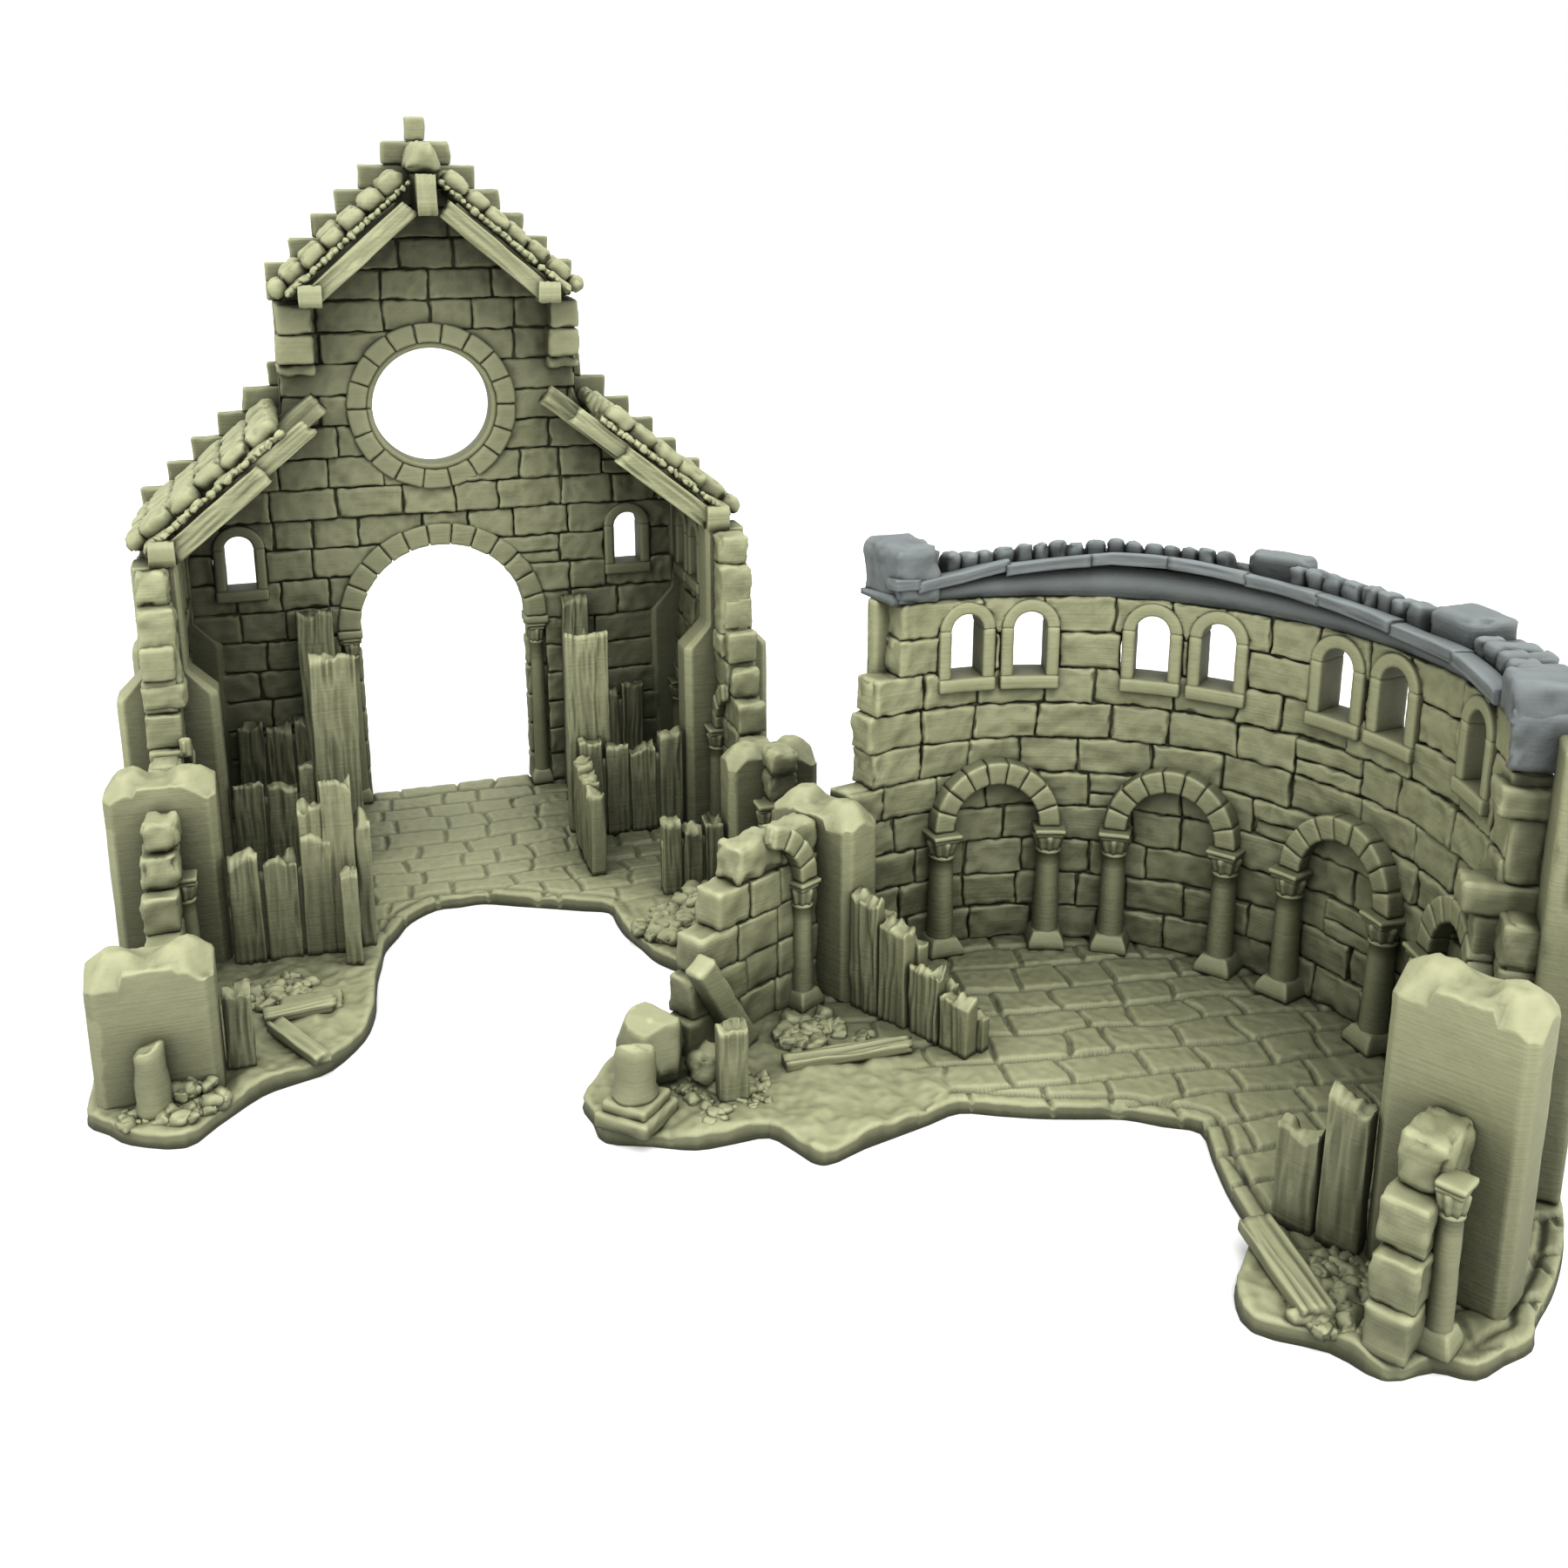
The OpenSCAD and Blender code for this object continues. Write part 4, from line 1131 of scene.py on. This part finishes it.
BAYS = (-51.8, -17.4, 17.4, 51.8)
TURNS = (-45.75, -23.45, -11.35, 11.35, 23.45, 45.75, 57.85)
BREAK_LEFT = [-86] * 4 + [-67] * 2 + [-60] * 4
BREAK_RIGHT = [83, 83, 83, 83, 82, 77, 77.5, 76.5, 71.5, 71]
windows = [along(turn) for turn in TURNS]
made = Piece("apse_wall_blocks", "apse_wall")
rows = []
for (low, high), start, end in zip(courses(FLOOR, SEAM), BREAK_LEFT, BREAK_RIGHT):
    rows.append((low, high, gaps(along(start), along(end), window_holes(low, high, windows))))
masonry(made, rows, 0, WALL, round_wall, cap=around_windows(windows))
for at in windows:
    window_frame(made, at, round_wall)
tip = along(-60)
for low, high, inner, back, front in ((50, 54, -1.4, 1.6, 4.5), (36, 40.4, -4.4, 1.4, 4.5),
                                      (40.6, 49.8, 0.5, 0.7, 3.5), (24, 35.8, -2.6, 0.8, 4)):
    made.add(block((tip - back, inner, FLOOR + low), (tip + front, WALL - 0.4, FLOOR + high),
                   soft=0.5, rough=0.22), round_wall)

made = Piece("apse_niche_stones", "apse_niches")
for turn in BAYS:
    arch(made, along(turn), NICHE_SPRING, NICHE_IN, NICHE_OUT, -3.0, 0.4, 9, round_wall,
         rough=0.05, gap=0.06)
    for offset in (-10.8, 10.8):
        half_column(made, along(turn + offset), -1.8, NICHE_SPRING, round_wall)

made = Piece("apse_buttress_stones", "apse_buttresses")
for turn in (-65, -34.6, 0, 34.6, 69.2):
    s = along(turn)
    points, faces = block((s - 3.7, WALL - 1, FLOOR), (s + 3.7, WALL + 5.2, SEAM), cell=1,
                          soft=0.6, rough=0.06, grain=5)
    step = np.clip((points[:, 2] - CHAMFER_Z) / CHAMFER, 0, 1) * 3.8
    points[:, 1] = np.minimum(points[:, 1], WALL + 5.2 - step)
    made.add((points, faces), round_wall)

made = Piece("apse_pier_left_body", "apse_pier_left")
pier(made, 1, -2, FLOOR + 33, True, lambda p: in_apse(p[:, [1, 0, 2]]))
made = Piece("apse_pier_right_body", "apse_pier_right")
pier(made, 1, -5, FLOOR + 41, True, lambda p: in_apse(p[:, [1, 0, 2]] * [1, -1, 1]))

made = Piece("apse_fragment_left_stones", "apse_fragment_left")
ragged(made, [29, 28, 26, 22, 18], -2, apse_side(1))
half_column(made, -6.5, -0.6, NICHE_SPRING, apse_side(1), r=1.8)
broken_arch(made, -16, apse_side(1), -2.2)
made.add(block((-1.9, -1.8, 0), (1.9, 1.8, 19), soft=0.4, rough=0.12, grain=5),
         placed((-21, 48, FLOOR), lean=-29, then=in_apse))
made = Piece("apse_fragment_right_stones", "apse_fragment_right")
ragged(made, [15, 14, 12, 9], -5, apse_side(-1))
half_column(made, -13.5, WALL + 1.0, NICHE_SPRING,
            lambda p: apse_side(-1)(xyz(p[:, 0], 2 * WALL + 2 - p[:, 1], p[:, 2])), r=1.6)

made = Piece("boards_apse_left", "apse_screen_left")
for i, top in enumerate([20.5, 17.5, 12.5, 9.5]):
    made.add(plank(5.7, 2.3, top, 1.8),
             placed((-0.8, PIER_IN - 6.1 * i - 3.2, FLOOR), turn=90, then=in_apse))
    made.add(plank(5.7, 2.0, top - 3, 1.4),
             placed((1.8, PIER_IN - 6.1 * i - 3.8, FLOOR), turn=90, then=in_apse))
made = Piece("boards_apse_right", "apse_screen_right")
for i in range(2):
    made.add(plank(5.7, 2.5, 21.5 - 7 * i, 1.8),
             placed((-4.2, -PIER_IN + 3.1 + 6.1 * i, FLOOR), turn=90, then=in_apse))

made = Piece("apse_loose_pieces", "apse_stump")
to = placed((-46, 44.5, FLOOR), turn=16, then=in_apse)
made.add(block((-4.4, -4.4, 0), (4.4, 4.4, 2.3), soft=0.5), to)
made.add(block((-3.6, -3.6, 2.2), (3.6, 3.6, 3.9), soft=0.5), to)
made.add(broken_shaft([(3.2, 3.8), (3.3, 4.6), (2.9, 5.4), (2.85, 7.5), (2.8, 9), (2.8, 10.4),
                       (2.7, 11.5), (2.3, 12), (1.3, 12.1)], lean=-0.45), to)
made.add(plank(4.6, 2.6, 12.5, 1.6), placed((-33.4, 38, FLOOR), turn=-30, then=in_apse))
made.add(plank(3.4, 1.6, 20.5, 0.8), placed((-22.7, 37.9, FLOOR + 1.2), tilt=90, turn=59, then=in_apse))
made.add(plank(4.6, 1.9, 17, 0.8), placed((-9.6, -31.8, FLOOR + 1.6), tilt=90, turn=-37, then=in_apse))
made = Piece("rubble_apse", "apse_rubble")
made.add(boulder(12, 11, 12.5, 4), placed((-37, 51, FLOOR - 0.3), turn=20, then=in_apse))
made.add(boulder(6.5, 6, 6, 8), placed((-30.5, 53.5, FLOOR - 0.3), then=in_apse))
made.add(rock(6.2, 1.0), placed((-32.6, 44.5, FLOOR + 2.6), then=in_apse))
scatter(made, -13, 41.5, 6.5, 4.5, 70, (1.2, 3.6), to=in_apse)
scatter(made, -34, 40, 8, 7, 60, (1.0, 2.8), to=in_apse)
scatter(made, -8, 35, 2.5, 2, 10, (1.0, 2.2), to=in_apse)
scatter(made, -13, -45, 7.5, 6.5, 150, (1.0, 3.4), to=in_apse)

# ---- apse roof

STRETCHES = [(-58, -38, 1), (-38, -20, 1.8), (-20, -3, 3.4), (-3, 8, 4.6), (8, 19, 5.2),
             (19, 44, 5.8), (44, 57, 4.2), (57, 62, 2.8), (62, 76, 2)]
BLOCKS = [(-58, 8, 50, 6.5), (-30.8, 9, 53.6, 7.4), (4.5, 9, 57.4, 8.5), (68, 12, 50.4, 9.4)]


def ring_top(p):
    """Height of the ring's sloping top above the wall, at points of the unrolled wall."""
    marks = [along((a + b) / 2) for a, b, _ in STRETCHES]
    rise = np.interp(p[:, 0], marks, [height for _, _, height in STRETCHES])
    return rise - (0.8 * rise - 0.6) * np.clip((p[:, 1] + 0.6) / 10.6, 0, 1)


def on_roof(p):
    """Map that sets a part of the roof on the ring."""
    return round_wall(xyz(p[:, 0], p[:, 1], p[:, 2] + SEAM + ring_top(p)))


made = Piece("roof_fascia", "roof_ring", "roof_grey")
points, faces = core((along(-58), 0.2, 0.05), (along(73), 9.8, 1), 1.3, 0.1)
points[:, 2] = SEAM + np.where(points[:, 2] > 0.5, ring_top(points), 0.1)
made.add((points, faces), round_wall)

made = Piece("roof_boards", "roof_planks", "roof_grey")
at = along(-54)
while at < along(70):
    end = min(at + rng.uniform(11, 17), along(73))
    left, right = rng.uniform(-0.5, 0.7), rng.uniform(-0.5, 0.7)
    proud = 0.15 * np.sign(left - 0.2) - 0.2
    climb = (right - left) / (end - at)
    made.add(plank(2.2, 3.2, end - at + 0.5, 0.5, 0.16),
             lambda p: on_roof(xyz(at + p[:, 2], p[:, 1] + proud,
                                   1.2 + p[:, 0] + left + climb * p[:, 2])))
    at = end

made = Piece("roof_stones", "roof_tiles", "roof_grey")


def free(s, inner):
    """Whether a row of tiles is clear of the end blocks here."""
    for turn, wide, start, _ in BLOCKS:
        if abs(s - along(turn)) < along(wide / 1.85) and inner + APSE_R > start - 4.5:
            return False
    return True


for inner, outer, low, high, width in ((1.6, 6.2, 0.1, 5.0, 2.9), (5.2, 10.8, 0.1, 3.9, 3.2)):
    at = along(-56)
    while at < along(71):
        step = width * rng.uniform(0.85, 1.15)
        if free(at + step / 2, inner):
            rounded(made, (at + 0.1, inner, low), (at + step - 0.1, outer + rng.uniform(-0.4, 0),
                    high + rng.uniform(-0.5, 0.1)), on_roof, 1.1)
        at += step

made = Piece("roof_end_blocks", "roof_blocks", "roof_grey")
for turn, width, inner, height in BLOCKS:
    s, half = along(turn), width / 2
    rugged = inner < 51
    half -= 2.0 if turn > 60 else 0.3 if rugged else 0
    if turn < -50:
        made.add(block((s - half, inner - APSE_R + 1, SEAM - 5.6),
                       (along(-60.4), 62.2 - APSE_R, SEAM + 3), soft=0.7, rough=0.3), round_wall)
    made.add(block((s - half, inner - APSE_R + 0.5, SEAM + 0.1),
                   (s + half, 62.4 - APSE_R, SEAM + height), cell=0.7, soft=1.2,
                   rough=0.34 if rugged else 0.1, grain=3.4, chips=0.4), round_wall)

# ---- floors

NAVE_EDGE = [(-62.2, 8.2), (-22, 8.2), (-21, WALL), (21, WALL), (22, 8.2), (62.2, 8.2),
             (62.2, -72), (60, -82), (52, -87), (40, -87), (31, -91), (26, -85), (22.5, -73),
             (21.5, -63), (12, -58), (0, -52), (-9, -52), (-14, -56), (-19, -66), (-21, -77),
             (-22, -88), (-24, -95), (-29, -102), (-39, -106), (-45, -112), (-49, -116),
             (-56, -113), (-62.2, -106)]


def ground(p, stones, wild, distance, front, lump, seed):
    """Flagstones that give way to rough ground where wild is 1, with a kerb along the front."""
    lumps = (lump * noise(p, 5, seed) + 0.4 * noise(p, 2.2, seed + 1)
             + 0.2 * noise(p, 1.1, seed + 2))
    z = stones * (1 - wild) + wild * (0.2 + lumps * 0.8)
    kerb = np.exp(-((distance - 2.4) / 0.4) ** 2) * front * (1 - wild)
    return z - 0.9 * kerb - 0.15 * np.exp(-distance / 0.4)


def nave_floor(x, y, distance):
    wild = 1 / (1 + np.exp((y + 62) / 3)) * (np.abs(x) > 14)
    return ground(xyz(x, y, 0 * x), flagstones(x, y, 6.3, (6.5, 12), 3), wild, distance, y < -30,
                  0.7, 40)


floor_plate("nave_floor", "nave_base", NAVE_EDGE, nave_floor)

ring = [(63 * math.cos(math.radians(a)), 63 * math.sin(math.radians(a)))
        for a in range(-90, 91, 6)]
APSE_EDGE = ring + [(-12, 62), (-24, 61), (-38, 59.6), (-47, 55), (-50.4, 46), (-43, 35.5),
                    (-34, 30), (-33.5, 20), (-27, 18.5), (-11, 14), (-4, 4.5), (4, -4.5),
                    (8.5, -14.5), (-1.4, -24), (-7.5, -31), (-19, -34.6), (-23, -39),
                    (-20, -47), (-20, -53.5), (-15, -57), (-13, -61), (-4, -64)]


def apse_floor(u, v, distance):
    a = math.radians(38)
    x, y = u * math.cos(a) - v * math.sin(a), u * math.sin(a) + v * math.cos(a)
    wild = 1 / (1 + np.exp((u + 7) / 2.5)) * (np.abs(v) > 16)
    return ground(xyz(u, v, 0 * u), flagstones(x, y, 6.8, (7, 13), 9), wild, distance, u < 20, 0.8, 50)


floor_plate("apse_floor", "apse_base", APSE_EDGE, apse_floor, in_apse)

for piece in PIECES:
    piece.finish()

# ---- studio

scene = bpy.context.scene


def camera_sees(tree, lit, seen, output):
    """Mixes a shader that lights the object with one that only the camera sees."""
    mix = add_node(tree, "MixShader")
    tree.links.new(add_node(tree, "LightPath").outputs["Is Camera Ray"], mix.inputs["Fac"])
    tree.links.new(lit.outputs[0], mix.inputs[1])
    tree.links.new(seen.outputs[0], mix.inputs[2])
    tree.links.new(mix.outputs["Shader"], tree.nodes[output].inputs["Surface"])


white = bpy.data.materials.new("studio_floor")
white.use_nodes = True
paper = white.node_tree.nodes["Principled BSDF"]
paper.inputs["Base Color"].default_value = (0.97, 0.97, 0.97, 1)
paper.inputs["Roughness"].default_value = 0.9
dim = add_node(white.node_tree, "BsdfDiffuse", Color=(0.5, 0.5, 0.5, 1))
camera_sees(white.node_tree, dim, paper, "Material Output")
bpy.ops.mesh.primitive_plane_add(size=12, location=(0, 0, -0.0001))
studio = bpy.context.object
studio.name = "studio_floor"
studio.data.materials.append(white)

world = bpy.data.worlds.new("studio")
scene.world = world
world.use_nodes = True
glow = world.node_tree.nodes["Background"]
glow.inputs["Color"].default_value = (1, 1, 1, 1)
glow.inputs["Strength"].default_value = 1.0
backdrop = add_node(world.node_tree, "Background", Color=(1, 1, 1, 1), Strength=1.0)
camera_sees(world.node_tree, glow, backdrop, "World Output")


def softbox(name, toward, power, spread):
    """A wide soft light from one direction."""
    data = bpy.data.lights.new(name, "SUN")
    data.energy, data.angle = power, math.radians(spread)
    light = bpy.data.objects.new(name, data)
    light.rotation_mode = "QUATERNION"
    light.rotation_quaternion = Vector(toward).to_track_quat("-Z", "Y")
    scene.collection.objects.link(light)


softbox("overhead", (0.06, 0.45, -1), 2.0, 50)
softbox("front_fill", (0.2, 1, -0.7), 0.7, 70)

# Camera
eye = Vector((-26.62, -326.80, 129.43 + FLOOR)) * MM
yaw, pitch, roll = (math.radians(v) for v in (18.5785, 14.686, 0.2137))
ahead = Vector((math.sin(yaw) * math.cos(pitch), math.cos(yaw) * math.cos(pitch), -math.sin(pitch)))
across = Vector((math.cos(yaw), -math.sin(yaw), 0))
upward = across.cross(ahead)
turned = math.cos(roll) * across + math.sin(roll) * upward
raised = -math.sin(roll) * across + math.cos(roll) * upward
camera_data = bpy.data.cameras.new("camera")
camera_data.sensor_width = 36
camera_data.lens = 36.0976
camera_data.shift_x, camera_data.shift_y = -0.0227, -0.125
camera_data.clip_start = 0.01
camera = bpy.data.objects.new("camera", camera_data)
camera.matrix_world = Matrix(((turned.x, raised.x, -ahead.x, eye.x),
                              (turned.y, raised.y, -ahead.y, eye.y),
                              (turned.z, raised.z, -ahead.z, eye.z), (0, 0, 0, 1)))
scene.collection.objects.link(camera)
scene.camera = camera
scene.view_settings.view_transform = "Standard"
